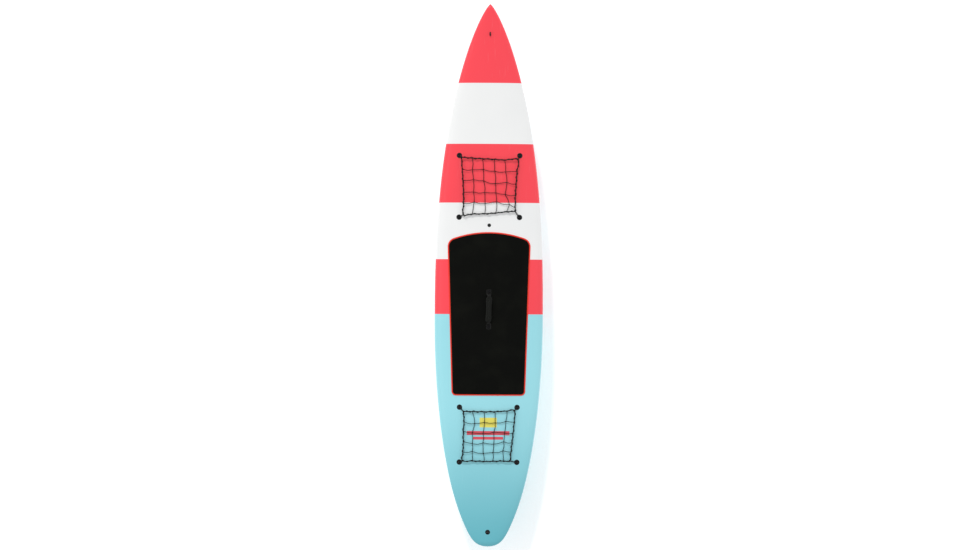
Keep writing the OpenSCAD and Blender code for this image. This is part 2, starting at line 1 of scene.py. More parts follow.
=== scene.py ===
"""A hard touring paddleboard: the looks of every piece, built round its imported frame.

Sizes are in millimetres unless a name says otherwise. The frame's X runs across the board, +Y to
the nose and +Z up through the deck, with the origin on the flat bottom at mid-length.
"""

import functools
import logging
import math
from abc import ABC, abstractmethod
from dataclasses import dataclass, field
from enum import Enum
from typing import Callable, Optional, Sequence, Union

import bmesh
import bpy
import numpy as np
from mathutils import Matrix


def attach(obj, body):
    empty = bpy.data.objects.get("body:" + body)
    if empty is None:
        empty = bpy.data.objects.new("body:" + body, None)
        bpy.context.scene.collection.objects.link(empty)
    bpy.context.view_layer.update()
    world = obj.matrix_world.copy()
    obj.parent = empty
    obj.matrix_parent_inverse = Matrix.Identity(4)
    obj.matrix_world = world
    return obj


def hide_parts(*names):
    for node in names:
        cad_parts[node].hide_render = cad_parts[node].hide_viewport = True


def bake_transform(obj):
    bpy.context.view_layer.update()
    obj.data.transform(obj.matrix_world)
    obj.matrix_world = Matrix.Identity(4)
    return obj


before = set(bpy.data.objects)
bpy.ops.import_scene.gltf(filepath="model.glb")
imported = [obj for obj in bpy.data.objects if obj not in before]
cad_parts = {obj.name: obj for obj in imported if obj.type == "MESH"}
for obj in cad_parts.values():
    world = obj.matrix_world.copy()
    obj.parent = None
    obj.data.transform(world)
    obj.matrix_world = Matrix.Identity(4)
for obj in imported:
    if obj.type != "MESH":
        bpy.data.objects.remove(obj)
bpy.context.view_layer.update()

MM = 0.001
TURN = 2.0 * math.pi
HANDLE_ANCHORS = (-112.0, -359.0)   # places of the handle's two anchors along the board
PIN_HEIGHT = -3.0                   # of the pins in the net plugs and the leash cup, over the deck
CUT_LOW, CUT_HIGH = -8.0, 25.0      # ends of the blocks that cut the deck shell, over the deck
Array = np.ndarray
Place = tuple[float, float]
Colour = tuple[float, float, float, float]
log = logging.getLogger("paddleboard")


class Body(str, Enum):
    """The bodies that pieces ride on."""

    BOARD = "board"
    HANDLE = "handle"
    VENT_SCREW = "vent_screw"
    FIN = "fin"
    FIN_SCREW = "fin_screw"


def screen(red: float, green: float, blue: float) -> Colour:
    """A linear colour from its 0-255 screen values: each share raised to the power 2.2."""
    return tuple((part / 255.0) ** 2.2 for part in (red, green, blue)) + (1.0,)


# ---- Shader graphs ------------------------------------------------------------------------


class Value:
    """A number inside a material. Each operator on it adds one Math node."""

    def __init__(self, graph: "Graph", socket: bpy.types.NodeSocket) -> None:
        """Args: graph: the material's graph. socket: the output that carries the number."""
        self.graph = graph
        self.socket = socket

    def _math(self, operation: str, first: "Number", second: "Number" = 0.0) -> "Value":
        """Returns: the result of one Math node."""
        made = self.graph.node("ShaderNodeMath", {"operation": operation}, {0: first, 1: second})
        return Value(self.graph, made.outputs[0])

    def __add__(self, other: "Number") -> "Value":
        """This number plus another."""
        return self._math("ADD", self, other)

    __radd__ = __add__

    def __sub__(self, other: "Number") -> "Value":
        """This number less another."""
        return self._math("SUBTRACT", self, other)

    def __rsub__(self, other: "Number") -> "Value":
        """Another number less this one."""
        return self._math("SUBTRACT", other, self)

    def __mul__(self, other: "Number") -> "Value":
        """This number times another."""
        return self._math("MULTIPLY", self, other)

    __rmul__ = __mul__

    def __truediv__(self, other: "Number") -> "Value":
        """This number over another."""
        return self._math("DIVIDE", self, other)

    def __abs__(self) -> "Value":
        """The size of this number, without its sign."""
        return self._math("ABSOLUTE", self)

    def sine(self) -> "Value":
        """The sine of this number, in radians."""
        return self._math("SINE", self)

    def higher(self, other: "Number") -> "Value":
        """The higher of this number and another."""
        return self._math("MAXIMUM", self, other)

    def step(self, low: float, high: float) -> "Value":
        """A smooth rise from 0 at low to 1 at high.

        Args:
            low: where the rise starts.
            high: where it ends.
        Returns:
            The risen number.
        """
        made = self.graph.node(
            "ShaderNodeMapRange", {"interpolation_type": "SMOOTHSTEP"},
            {"Value": self, "From Min": low, "From Max": high})
        return Value(self.graph, made.outputs[0])

    def within(self, low: float, high: float, soft: float) -> "Value":
        """1 between low and high and 0 outside, with edges that are soft wide."""
        return self.step(low - soft, low + soft) * (1 - self.step(high - soft, high + soft))


Number = Union[Value, float]
Link = Union[Value, bpy.types.NodeSocket, float, tuple]


class Graph:
    """The node graph of one material, with a Principled shader at its end."""

    def __init__(self, name: str) -> None:
        """Args: name: the material's name."""
        self.material = bpy.data.materials.new(name)
        self.material.use_nodes = True
        self.tree = self.material.node_tree
        self.tree.nodes.clear()
        self.coordinates = self.tree.nodes.new("ShaderNodeTexCoord")

    def node(self, kind: str, settings: dict[str, object], inputs: dict[Union[int, str], Link]
             ) -> bpy.types.Node:
        """Adds any node.

        Args:
            kind: the node's type.
            settings: its own settings, which are set first.
            inputs: a value or a link for each socket, by name or number.
        Returns:
            The new node.
        """
        made = self.tree.nodes.new(kind)
        for key, setting in settings.items():
            setattr(made, key, setting)
        for key, given in inputs.items():
            source = given.socket if isinstance(given, Value) else given
            if isinstance(source, bpy.types.NodeSocket):
                self.tree.links.new(source, made.inputs[key])
            else:
                made.inputs[key].default_value = source
        return made

    @property
    def place(self) -> bpy.types.NodeSocket:
        """The place on the object, in metres."""
        return self.coordinates.outputs["Object"]

    @property
    def surface(self) -> bpy.types.NodeSocket:
        """The place on the piece's own UV map."""
        return self.coordinates.outputs["UV"]

    def part(self, vector: bpy.types.NodeSocket, axis: str) -> Value:
        """One of a vector's three numbers. Args: vector: the vector. axis: X, Y or Z."""
        return Value(self, self.node("ShaderNodeSeparateXYZ", {}, {0: vector}).outputs[axis])

    def stretched(self, vector: bpy.types.NodeSocket, scale: tuple[float, float, float]
                  ) -> bpy.types.NodeSocket:
        """A vector with each of its numbers times its own scale."""
        made = self.node("ShaderNodeVectorMath", {"operation": "MULTIPLY"}, {0: vector, 1: scale})
        return made.outputs[0]

    def noise(self, vector: bpy.types.NodeSocket, scale: float, detail: float = 3.0) -> Value:
        """Cloudy noise from 0 to 1, with scale features to the metre."""
        made = self.node("ShaderNodeTexNoise", {}, {"Vector": vector, "Scale": scale, "Detail": detail})
        return Value(self, made.outputs[0])

    def cells(self, vector: bpy.types.NodeSocket, scale: float, feature: str = "F1") -> Value:
        """Distance in a cell pattern, with scale cells to the metre."""
        made = self.node("ShaderNodeTexVoronoi", {"feature": feature}, {"Vector": vector, "Scale": scale})
        return Value(self, made.outputs["Distance"])

    def mix(self, share: Number, below: Link, above: Link, blend: str = "MIX") -> bpy.types.NodeSocket:
        """Two colours mixed by a share.

        Args:
            share: of the second colour.
            below: the first colour.
            above: the second colour.
            blend: how they mix.
        Returns:
            The mixed colour.
        """
        made = self.node("ShaderNodeMix", {"data_type": "RGBA", "blend_type": blend},
                         {0: share, 6: below, 7: above})
        return made.outputs[2]

    def bump(self, height: Value, strength: float, depth: float) -> bpy.types.NodeSocket:
        """A normal from a height.

        Args:
            height: from 0 to 1.
            strength: from 0 to 1.
            depth: metres between the heights 0 and 1.
        Returns:
            The normal.
        """
        made = self.node("ShaderNodeBump", {},
                         {"Strength": strength, "Distance": depth, "Height": height})
        return made.outputs[0]

    def finish(self, inputs: dict[str, Link]) -> bpy.types.Material:
        """Ends the graph in a Principled shader with these inputs.

        Args:
            inputs: a value or a link for each of the shader's sockets.
        Returns:
            The material.
        """
        shader = self.node("ShaderNodeBsdfPrincipled", {}, inputs)
        self.node("ShaderNodeOutputMaterial", {}, {"Surface": shader.outputs[0]})
        return self.material


# ---- Finishes -----------------------------------------------------------------------------


CORAL = screen(255, 73, 84)
WHITE = screen(243, 243, 241)
AQUA = screen(157, 223, 232)
YELLOW = screen(240, 226, 100)
SCARLET = screen(232, 82, 94)
# painted shade in the pad's openings over the handle's anchors
ANCHOR_SHADE = screen(20, 21, 18)


class Finish(ABC):
    """What a surface is made of. Each kind of finish makes its own node material."""

    name: str

    def material(self) -> bpy.types.Material:
        """The material, made once and shared by all the pieces that have this finish."""
        title = f"{self.name}_finish"
        return bpy.data.materials.get(title) or self.make(Graph(title))

    @abstractmethod
    def make(self, graph: Graph) -> bpy.types.Material:
        """Fills a graph and ends it.

        Args:
            graph: an empty graph under the finish's own title.
        Returns:
            The finished material.
        """


@dataclass(frozen=True)
class Band:
    """A band of colour across the board, between two places along it in metres."""

    low: float
    high: float
    colour: Colour


@dataclass(frozen=True)
class BoardPaint(Finish):
    """Sprayed and clear-coated paint in bands, with a fine orange peel, faint handling marks and painted
    shade towards the tail.

    On the hull the bands come down the rail and stop at a crisp line where the bottom starts.
    """

    name: str
    bands: tuple[Band, ...]
    ground: Colour = AQUA
    bottom: bool = False
    tuck: float = 0.42            # share of the way from the keel to the rail where the bands stop
    tuck_from: float = 1.35       # metres ahead of the middle where the bottom's colour narrows
    tuck_to: float = 1.86         # and where it ends in a point
    painted_tail_shade: Colour = (0.3, 0.6, 0.64, 1.0)   # painted shade: what the colour is multiplied by at the tail, darker where the tail slopes away from the light
    tail_shade_from: float = 0.82       # metres behind the middle where the painted tail shade starts and ends
    tail_shade_to: float = 2.15
    edge: float = 0.0006          # softness of every edge of colour
    # places of the handle's anchors, where near-black paint stands for the shade in the pad's openings
    anchors: tuple[float, ...] = ()
    patch: Place = (0.034, 0.024)   # half length and half width of the painted shade at an anchor, near-black paint in the pad's opening
    badge: tuple[tuple[float, float, float, Colour], ...] = ()

    def make(self, graph: Graph) -> bpy.types.Material:
        """Bands by place along the board, then the badge and, at the anchors, near-black painted shade over
        them.

        Args:
            graph: an empty graph under the finish's own title.
        Returns:
            The finished material.
        """
        across = graph.part(graph.place, "X")
        along = graph.part(graph.place, "Y")
        edge = self.edge
        colour: Link = self.ground
        for band in self.bands:
            colour = graph.mix(along.within(band.low, band.high, edge), colour, band.colour)
        for middle, half_length, half_width, bar in self.badge:
            inside = along.within(middle - half_width, middle + half_width, edge)
            colour = graph.mix(inside * across.within(-half_length, half_length, edge), colour, bar)
        length, width = self.patch
        # painted shade: near-black paint in each of the pad's openings over a handle anchor
        for anchor in self.anchors:
            inside = along.within(anchor - length, anchor + length, edge)
            colour = graph.mix(inside * across.within(-width, width, edge), colour, ANCHOR_SHADE)
        if self.bottom:
            share = abs(graph.part(graph.surface, "X")) / self.tuck
            share = share + along.step(self.tuck_from, self.tuck_to)
            colour = graph.mix(1 - share.step(0.993, 1.007), colour, self.ground)
        # painted shade: the colour darkens towards the tail, where the deck slopes away from the light
        painted_tail_shade = (along * -1.0).step(self.tail_shade_from, self.tail_shade_to)
        colour = graph.mix(painted_tail_shade, colour, self.painted_tail_shade, "MULTIPLY")
        cloud = graph.noise(graph.place, 2.3, 2.0)
        colour = graph.mix(cloud.step(0.35, 0.7) * 0.06, colour, (0.55, 0.6, 0.66, 1.0), "MULTIPLY")
        grain = graph.noise(graph.stretched(graph.place, (90.0, 6.0, 90.0)), 1.0, 4.0)
        colour = graph.mix(grain.step(0.62, 0.8) * 0.05, colour, (0.8, 0.82, 0.84, 1.0))
        rub = graph.noise(graph.stretched(graph.place, (9.0, 2.0, 9.0)), 1.0, 6.0).step(0.5, 0.75)
        peel = graph.noise(graph.place, 260.0, 2.0) + graph.noise(graph.place, 14.0, 1.0) * 2.0
        return graph.finish({
            "Base Color": colour,
            "Roughness": 0.36 + rub * 0.16,
            "Specular IOR Level": 0.25,
            "Coat Weight": 0.28 - rub * 0.1,
            "Coat Roughness": 0.14,
            "Normal": graph.bump(peel, 0.25, 0.00025),
        })


@dataclass(frozen=True)
class FoamPad(Finish):
    """Closed-cell EVA sheet: a matt skin of tiny pits, brushed along its length."""

    name: str
    colour: Colour
    bloom: Colour
    sheen: float = 0.0

    def make(self, graph: Graph) -> bpy.types.Material:
        """Fine pits and a brushed grain, with paler dust in the high places.

        Args:
            graph: an empty graph under the finish's own title.
        Returns:
            The finished material.
        """
        pits = graph.cells(graph.place, 620.0)
        brushed = graph.noise(graph.stretched(graph.place, (700.0, 55.0, 300.0)), 1.0, 3.0)
        wear = graph.noise(graph.place, 7.0, 5.0)
        dust = wear.step(0.42, 0.78) * 0.5 + brushed.step(0.5, 0.85) * 0.5
        return graph.finish({
            "Base Color": graph.mix(dust, self.colour, self.bloom),
            "Roughness": 0.82 + pits * 0.15,
            "Specular IOR Level": 0.12,
            "Sheen Weight": self.sheen,
            "Sheen Roughness": 0.6,
            "Normal": graph.bump(pits + brushed * 1.6, 0.6, 0.0005),
        })


@dataclass(frozen=True)
class MouldedPlastic(Finish):
    """Glass-filled plastic from a spark-eroded mould, rubbed a little smoother in places."""

    name: str
    colour: Colour
    rough: float = 0.42
    grain: float = 900.0

    def make(self, graph: Graph) -> bpy.types.Material:
        """A fine mould grain, and long faint rub marks in the roughness.

        Args:
            graph: an empty graph under the finish's own title.
        Returns:
            The finished material.
        """
        grain = graph.noise(graph.place, self.grain, 2.0)
        rub = graph.noise(graph.stretched(graph.place, (60.0, 14.0, 60.0)), 1.0, 5.0).step(0.4, 0.75)
        paler = tuple(0.85 * part + 0.02 for part in self.colour[:3]) + (1.0,)
        return graph.finish({
            "Base Color": graph.mix(rub * 0.3, self.colour, paler),
            "Roughness": self.rough + grain * 0.16 - rub * 0.1,
            "Specular IOR Level": 0.4,
            "Normal": graph.bump(grain, 0.35, 0.0002),
        })


@dataclass(frozen=True)
class Metal(Finish):
    """Turned or brushed metal with fine lines and a few dull patches."""

    name: str
    colour: Colour
    rough: float = 0.28
    tarnish: Colour = (0.25, 0.22, 0.18, 1.0)

    def make(self, graph: Graph) -> bpy.types.Material:
        """Fine lines along the length, and tarnish where cloudy noise is high.

        Args:
            graph: an empty graph under the finish's own title.
        Returns:
            The finished material.
        """
        lines = graph.noise(graph.stretched(graph.place, (3000.0, 160.0, 3000.0)), 1.0, 2.0)
        patch = graph.noise(graph.place, 120.0, 4.0).step(0.5, 0.8)
        return graph.finish({
            "Base Color": graph.mix(patch * 0.35, self.colour, self.tarnish),
            "Metallic": 1.0,
            "Roughness": self.rough + lines * 0.14 + patch * 0.18,
            "Normal": graph.bump(lines, 0.2, 0.0001),
        })


@dataclass(frozen=True)
class Rubber(Finish):
    """Soft black rubber with a dusty bloom."""

    name: str
    colour: Colour = (0.012, 0.012, 0.012, 1.0)

    def make(self, graph: Graph) -> bpy.types.Material:
        """A bloom in cloudy patches over a fine grain.

        Args:
            graph: an empty graph under the finish's own title.
        Returns:
            The finished material.
        """
        bloom = graph.noise(graph.place, 300.0, 4.0)
        return graph.finish({
            "Base Color": graph.mix(bloom.step(0.4, 0.8) * 0.5, self.colour, (0.05, 0.05, 0.05, 1.0)),
            "Roughness": 0.55 + bloom * 0.2,
            "Normal": graph.bump(bloom, 0.2, 0.0001),
        })


@dataclass(frozen=True)
class Weave(Finish):
    """Woven fabric on the piece's UV map, which is in metres across and along.

    The height is a sine across times a sine along, so that raised and sunk squares take turns, as
    threads do that go over and under each other.
    """

    name: str
    colour: Colour
    # paler colour of the painted highlight on the raised squares and of random fuzz
    thread: Colour
    pitch: float = 0.0011
    depth: float = 0.0003
    sheen: float = 0.3

    def make(self, graph: Graph) -> bpy.types.Material:
        """The raised squares painted paler on their tops as a painted highlight, the sunk ones darker as
        painted shade, with random paler fuzz.

        Args:
            graph: an empty graph under the finish's own title.
        Returns:
            The finished material.
        """
        across = (graph.part(graph.surface, "X") * (TURN / self.pitch)).sine()
        along = (graph.part(graph.surface, "Y") * (TURN / self.pitch)).sine()
        over = (across * along).step(-0.5, 0.8)
        fuzz = graph.noise(graph.place, 1600.0, 3.0)
        return graph.finish({
            # painted highlight on the raised squares and painted shade on the sunk ones, mixed with random
            # paler fuzz
            "Base Color": graph.mix(over * 0.6 + fuzz * 0.4, self.colour, self.thread),
            "Roughness": 0.78 + fuzz * 0.15,
            "Specular IOR Level": 0.22,
            "Sheen Weight": self.sheen,
            "Sheen Roughness": 0.45,
            "Normal": graph.bump(over + fuzz * 0.4, 0.7, self.depth),
        })


@dataclass(frozen=True)
class Braid(Finish):
    """Braided cord sleeve: two sets of crossing diagonal ridges on the tube's UV map."""

    name: str
    colour: Colour
    # paler colour of the painted highlight on the ridges
    thread: Colour
    pitch: float = 0.006
    strands: float = 6.0

    def make(self, graph: Graph) -> bpy.types.Material:
        """Ridges that turn one way round the cord, crossed by ridges that turn the other way; the ridges are
        painted paler as a painted highlight and the grooves darker as painted shade.

        Args:
            graph: an empty graph under the finish's own title.
        Returns:
            The finished material.
        """
        around = graph.part(graph.surface, "X") * (TURN * self.strands)
        along = graph.part(graph.surface, "Y") * (TURN / self.pitch)
        right = (around + along).sine()
        left = (around - along).sine()
        ridge = right.higher(left)
        return graph.finish({
            # painted highlight on the ridges and painted shade in the grooves between them
            "Base Color": graph.mix(ridge.step(0.2, 1.0) * 0.7, self.colour, self.thread),
            "Roughness": 0.62 + ridge * 0.08,
            "Specular IOR Level": 0.3,
            "Normal": graph.bump(ridge, 0.6, 0.0004),
        })


@dataclass(frozen=True)
class BeadFoam(Finish):
    """Expanded foam of pressed beads: a cell pattern with a darker seam round each bead."""

    name: str
    colour: Colour
    seam: Colour
    beads: float = 230.0

    def make(self, graph: Graph) -> bpy.types.Material:
        """Distance to the edge of each bead gives its seam and its domed top.

        Args:
            graph: an empty graph under the finish's own title.
        Returns:
            The finished material.
        """
        edge = graph.cells(graph.place, self.beads, "DISTANCE_TO_EDGE")
        tint = graph.noise(graph.place, 18.0, 3.0)
        colour = graph.mix(1 - edge.step(0.0, 0.09), self.colour, self.seam)
        return graph.finish({
            "Base Color": graph.mix(tint * 0.12, colour, self.seam),
            "Roughness": 0.7 + edge * 0.2,
            "Specular IOR Level": 0.3,
            "Normal": graph.bump(edge.step(0.0, 0.25), 0.5, 0.0006),
        })


@dataclass(frozen=True)
class Plywood(Finish):
    """Thin plywood: layers across its thickness and long grain down its length."""

    name: str
    colour: Colour = screen(205, 165, 115)
    dark: Colour = screen(140, 95, 55)

    def make(self, graph: Graph) -> bpy.types.Material:
        """Layers are a sine of the place across; grain is noise drawn out along the board.

        Args:
            graph: an empty graph under the finish's own title.
        Returns:
            The finished material.
        """
        layers = (graph.part(graph.place, "X") * (TURN / 0.0032)).sine().step(0.5, 0.95)
        grain = graph.noise(graph.stretched(graph.place, (120.0, 3.0, 260.0)), 1.0, 6.0)
        mixed = graph.mix(grain.step(0.4, 0.65), self.colour, self.dark)
        return graph.finish({
            "Base Color": graph.mix(layers * 0.5, mixed, self.dark),
            "Roughness": 0.6 + grain * 0.2,
            "Normal": graph.bump(grain, 0.3, 0.0004),
        })


@dataclass(frozen=True)
class FloorPaper(Finish):
    """Seamless pale paper that glows a little, so that it stays pale under the board. Seen from
    underneath it is clear."""

    name: str = "floor_paper"
    glow: float = 0.32

    def make(self, graph: Graph) -> bpy.types.Material:
        """A nearly white sheet with very faint mottling.

        Args:
            graph: an empty graph under the finish's own title.
        Returns:
            The finished material.
        """
        cloud = graph.noise(graph.place, 1.2, 2.0)
        paper = graph.node("ShaderNodeBsdfPrincipled", {}, {
            "Base Color": graph.mix(cloud * 0.1, (0.9, 0.9, 0.9, 1.0), (0.86, 0.87, 0.88, 1.0)),
            "Roughness": 0.9,
            "Specular IOR Level": 0.1,
            "Emission Color": (1.0, 1.0, 1.0, 1.0),
            "Emission Strength": self.glow,
        })
        clear = graph.node("ShaderNodeBsdfTransparent", {}, {})
        behind = graph.node("ShaderNodeNewGeometry", {}, {}).outputs["Backfacing"]
        both = graph.node("ShaderNodeMixShader", {},
                          {0: behind, 1: paper.outputs[0], 2: clear.outputs[0]})
        graph.node("ShaderNodeOutputMaterial", {}, {"Surface": both.outputs[0]})
        return graph.material


BANDS = (
    Band(1.352, 2.0, CORAL),
    Band(0.925, 1.352, WHITE),
    Band(0.512, 0.925, CORAL),
    Band(0.115, 0.512, WHITE),
    Band(-0.270, 0.115, CORAL),
)
DECK_PAINT = BoardPaint(
    "deck_paint", BANDS, anchors=tuple(place * MM for place in HANDLE_ANCHORS),
    badge=((-1.030, 0.060, 0.034, YELLOW), (-1.104, 0.150, 0.014, SCARLET),
           (-1.140, 0.105, 0.010, SCARLET)))
HULL_PAINT = BoardPaint("hull_paint", BANDS, bottom=True)
PAD_BLACK = FoamPad("pad_black", screen(13, 14, 11), screen(24, 25, 20))
PAD_CORAL = FoamPad("pad_colour", screen(240, 66, 52), screen(246, 84, 70))
GRIP_CLOTH = Weave("grip_fabric", screen(9, 10, 8), screen(29, 31, 26), 0.0016, 0.0002, 0.1)
STRAP_CLOTH = Weave("webbing", screen(9, 9, 8), screen(32, 32, 29), 0.0017, 0.0004, 0.08)
THREAD = Weave("sewing_thread", screen(40, 41, 38), screen(84, 85, 80), 0.0009, 0.0001, 0.3)
STEEL = Metal("stainless", (0.62, 0.63, 0.65, 1.0))
PIN_STEEL = Metal("pin_steel", (0.1, 0.1, 0.104, 1.0), 0.34, (0.05, 0.045, 0.04, 1.0))
BLACK_STEEL = Metal("black_steel", (0.014, 0.014, 0.015, 1.0), 0.4, (0.03, 0.024, 0.02, 1.0))
BRASS = Metal("brass", (0.72, 0.5, 0.2, 1.0), 0.3, (0.3, 0.18, 0.08, 1.0))
BLACK_PLASTIC = MouldedPlastic("black_plastic", screen(19, 20, 20))
FIN_PLASTIC = MouldedPlastic("fin_plastic", screen(24, 25, 27), 0.36, 500.0)
RUBBER = Rubber("rubber")
MEMBRANE = BeadFoam("membrane", (0.85, 0.85, 0.84, 1.0), (0.6, 0.6, 0.6, 1.0), 2600.0)
ELASTIC = Braid("elastic_cord", screen(10, 11, 11), screen(34, 36, 36))
TWINE = Braid("net_twine", screen(11, 13, 13), screen(32, 34, 33), 0.004, 2.0)
FOAM_CORE = BeadFoam("foam_core", (0.88, 0.87, 0.83, 1.0), (0.66, 0.65, 0.6, 1.0))
DENSE_FOAM = BeadFoam("dense_foam", screen(226, 196, 138), screen(176, 140, 84), 900.0)
PLYWOOD = Plywood("stringer_wood")


# ---- Surfaces -----------------------------------------------------------------------------


@dataclass
class Shape:
    """A surface of four-sided faces, with a place on the UV map for each point."""

    points: Array
    faces: Array
    uv: Array

    @classmethod
    def grid(cls, points: Array, uv: Optional[Array] = None) -> "Shape":
        """Joins a grid of points by quads.

        Args:
            points: rows x columns x 3. A row that closes repeats its first point at its end.
            uv: rows x columns x 2, or nothing for shares from 0 to 1.
        Returns:
            The surface.
        """
        rows, columns = points.shape[:2]
        if uv is None:
            uv = np.stack(np.meshgrid(np.linspace(0, 1, columns), np.linspace(0, 1, rows)), -1)
        first = (np.arange(rows - 1)[:, None] * columns + np.arange(columns - 1)).ravel()
        faces = np.stack([first, first + 1, first + columns + 1, first + columns], -1)
        return cls(points.reshape(-1, 3), faces, uv.reshape(-1, 2))

    def __add__(self, other: "Shape") -> "Shape":
        """This surface and another as one.

        Args:
            other: the surface that is added.
        Returns:
            The joined surface.
        """
        return Shape(np.vstack([self.points, other.points]),
                     np.vstack([self.faces, other.faces + len(self.points)]),
                     np.vstack([self.uv, other.uv]))

    def moved(self, change: Callable[[Array], Array]) -> "Shape":
        """This surface with its points changed. Args: change: takes and returns all points."""
        return Shape(change(self.points), self.faces, self.uv)

    def scattered(self, centres: Array) -> "Shape":
        """Copies of this surface at many centres.

        Args:
            centres: one row of x, y, z each.
        Returns:
            All the copies as one surface.
        """
        count, size = len(centres), len(self.points)
        points = (self.points[None] + centres[:, None]).reshape(-1, 3)
        faces = (self.faces[None] + size * np.arange(count)[:, None, None]).reshape(-1, 4)
        return Shape(points, faces, np.tile(self.uv, (count, 1)))

    def piece(self, name: str, sharp: float = 40.0) -> bpy.types.Object:
        """Makes the mesh object.

        Args:
            name: the piece's name.
            sharp: the angle in degrees past which an edge is shaded as a crease.
        Returns:
            A smooth, closed mesh object at the origin, its faces outwards.
        """
        mesh = bpy.data.meshes.new(name)
        mesh.vertices.add(len(self.points))
        mesh.vertices.foreach_set("co", (self.points * MM).ravel())
        mesh.loops.add(self.faces.size)
        mesh.loops.foreach_set("vertex_index", self.faces.ravel())
        mesh.polygons.add(len(self.faces))
        mesh.polygons.foreach_set("loop_start", np.arange(0, self.faces.size, 4))
        mesh.update(calc_edges=True)
        layer = mesh.uv_layers.new(name="skin")
        layer.data.foreach_set("uv", self.uv[self.faces.ravel()].ravel())
        work = bmesh.new()
        work.from_mesh(mesh)
        bmesh.ops.remove_doubles(work, verts=work.verts, dist=1e-6)
        bmesh.ops.recalc_face_normals(work, faces=work.faces)
        work.to_mesh(mesh)
        work.free()
        return smoothed(linked(name, mesh), sharp)


def joined(shapes: Sequence[Shape]) -> Shape:
    """Several surfaces as one. Args: shapes: in the order that their points take."""
    return functools.reduce(Shape.__add__, shapes)


def linked(name: str, mesh: bpy.types.Mesh) -> bpy.types.Object:
    """Puts a mesh into the scene as an object at the origin.

    Args:
        name: the object's name.
        mesh: its mesh.
    Returns:
        The object.
    """
    piece = bpy.data.objects.new(name, mesh)
    bpy.context.scene.collection.objects.link(piece)
    return piece


def smoothed(piece: bpy.types.Object, sharp: float) -> bpy.types.Object:
    """Shades a piece smooth, with creases past an angle in degrees.

    Args:
        piece: a mesh object.
        sharp: the angle in degrees.
    Returns:
        The piece.
    """
    piece.data.polygons.foreach_set("use_smooth", np.ones(len(piece.data.polygons), bool))
    piece.data.set_sharp_from_angle(angle=math.radians(sharp))
    return piece


def applied(piece: bpy.types.Object) -> bpy.types.Object:
    """Applies a piece's modifiers.

    Args:
        piece: a mesh object.
    Returns:
        The piece, with the finished mesh.
    """
    graph = bpy.context.evaluated_depsgraph_get()
    mesh = bpy.data.meshes.new_from_object(
        piece.evaluated_get(graph), preserve_all_data_layers=True, depsgraph=graph)
    piece.modifiers.clear()
    piece.data = mesh
    mesh.name = piece.name
    return piece


def carved(piece: bpy.types.Object, cutters: Sequence[Shape], sharp: float = 40.0) -> bpy.types.Object:
    """Cuts closed shapes out of a piece.

    Args:
        piece: a closed mesh object.
        cutters: the closed shapes.
        sharp: the angle in degrees past which an edge is a crease.
    Returns:
        The piece, with the holes in its mesh.
    """
    tool = joined(cutters).piece(piece.name + "_cutter")
    cut = piece.modifiers.new("cut", "BOOLEAN")
    cut.operation, cut.solver, cut.object = "DIFFERENCE", "EXACT", tool
    applied(piece)
    bpy.data.objects.remove(tool)
    return smoothed(piece, sharp)


def bevelled(piece: bpy.types.Object, width: float, sharp: float = 40.0) -> bpy.types.Object:
    """Rounds a piece's sharp edges. Args: width: in millimetres. Returns: the piece."""
    bevel = piece.modifiers.new("edges", "BEVEL")
    bevel.width, bevel.segments, bevel.limit_method = width * MM, 2, "ANGLE"
    bevel.angle_limit = math.radians(30)
    return smoothed(applied(piece), sharp)


def lathe(profile: Array, sides: int = 48) -> Shape:
    """Turns a profile of (radius, height) points round the Z axis: x, y = radius x cos, sin.

    Args:
        profile: (radius, height) points in order.
        sides: of the turned shape.
    Returns:
        The surface, closed where the profile ends on the axis or at its own start.
    """
    angle = np.linspace(0, TURN, sides + 1)
    radius, height = profile[:, 0][:, None], profile[:, 1][:, None]
    points = np.stack([radius * np.cos(angle), radius * np.sin(angle), height + 0 * angle], -1)
    return Shape.grid(points)


def eased(corners: Sequence[Place], radius: float, closed: bool = False, steps: int = 4) -> Array:
    """A profile with rounded corners.

    Each corner becomes a quadratic curve from a point before it to a point after it, both at the
    radius from it or at 0.45 of the way along a shorter edge.

    Args:
        corners: the sharp profile. radius: of the rounding. closed: whether it ends at its start.
        steps: points in each rounded corner.
    Returns:
        The profile, one point a row.
    """
    here = np.array(corners, float)
    before, after = np.roll(here, 1, 0) - here, np.roll(here, -1, 0) - here
    back, ahead = np.linalg.norm(before, axis=1), np.linalg.norm(after, axis=1)
    start = here + before * (np.minimum(radius, 0.45 * back) / back)[:, None]
    stop = here + after * (np.minimum(radius, 0.45 * ahead) / ahead)[:, None]
    t = np.linspace(0, 1, steps)[None, :, None]
    curve = (1 - t) ** 2 * start[:, None] + 2 * t * (1 - t) * here[:, None] + t ** 2 * stop[:, None]
    if closed:
        return np.vstack([curve.reshape(-1, 2), curve[0, :1]])
    return np.vstack([here[:1], curve[1:-1].reshape(-1, 2), here[-1:]])


def prism(outline: Array, low: float, high: float) -> Shape:
    """A closed block: an outline of (x, y) points drawn up from low to high, with flat ends.

    Args:
        outline: (x, y) points in order.
        low: height of its lower end.
        high: height of its upper end.
    Returns:
        The block.
    """
    ring = np.vstack([outline, outline[:1]])
    middle = np.repeat(outline.mean(0)[None], len(ring), 0)
    rows = [(middle, low), (ring, low), (ring, high), (middle, high)]
    return Shape.grid(np.stack([np.column_stack([flat, np.full(len(flat), z)]) for flat, z in rows]))


def slot_outline(length: float, width: float, corner: Optional[float] = None, steps: int = 16) -> Array:
    """Outline of a bar along Y with round corners.

    Args:
        length: of the bar.
        width: of the bar.
        corner: its radius, or half the width.
        steps: points in each corner.
    Returns:
        The outline, one point a row.
    """
    radius = width / 2 if corner is None else corner
    angle = np.linspace(0, math.pi / 2, steps)
    arc = radius * np.stack([np.cos(angle), np.sin(angle)], -1)
    arc += [width / 2 - radius, length / 2 - radius]
    return np.vstack([arc, arc[::-1] * [-1, 1], arc * [-1, -1], arc[::-1] * [1, -1]])


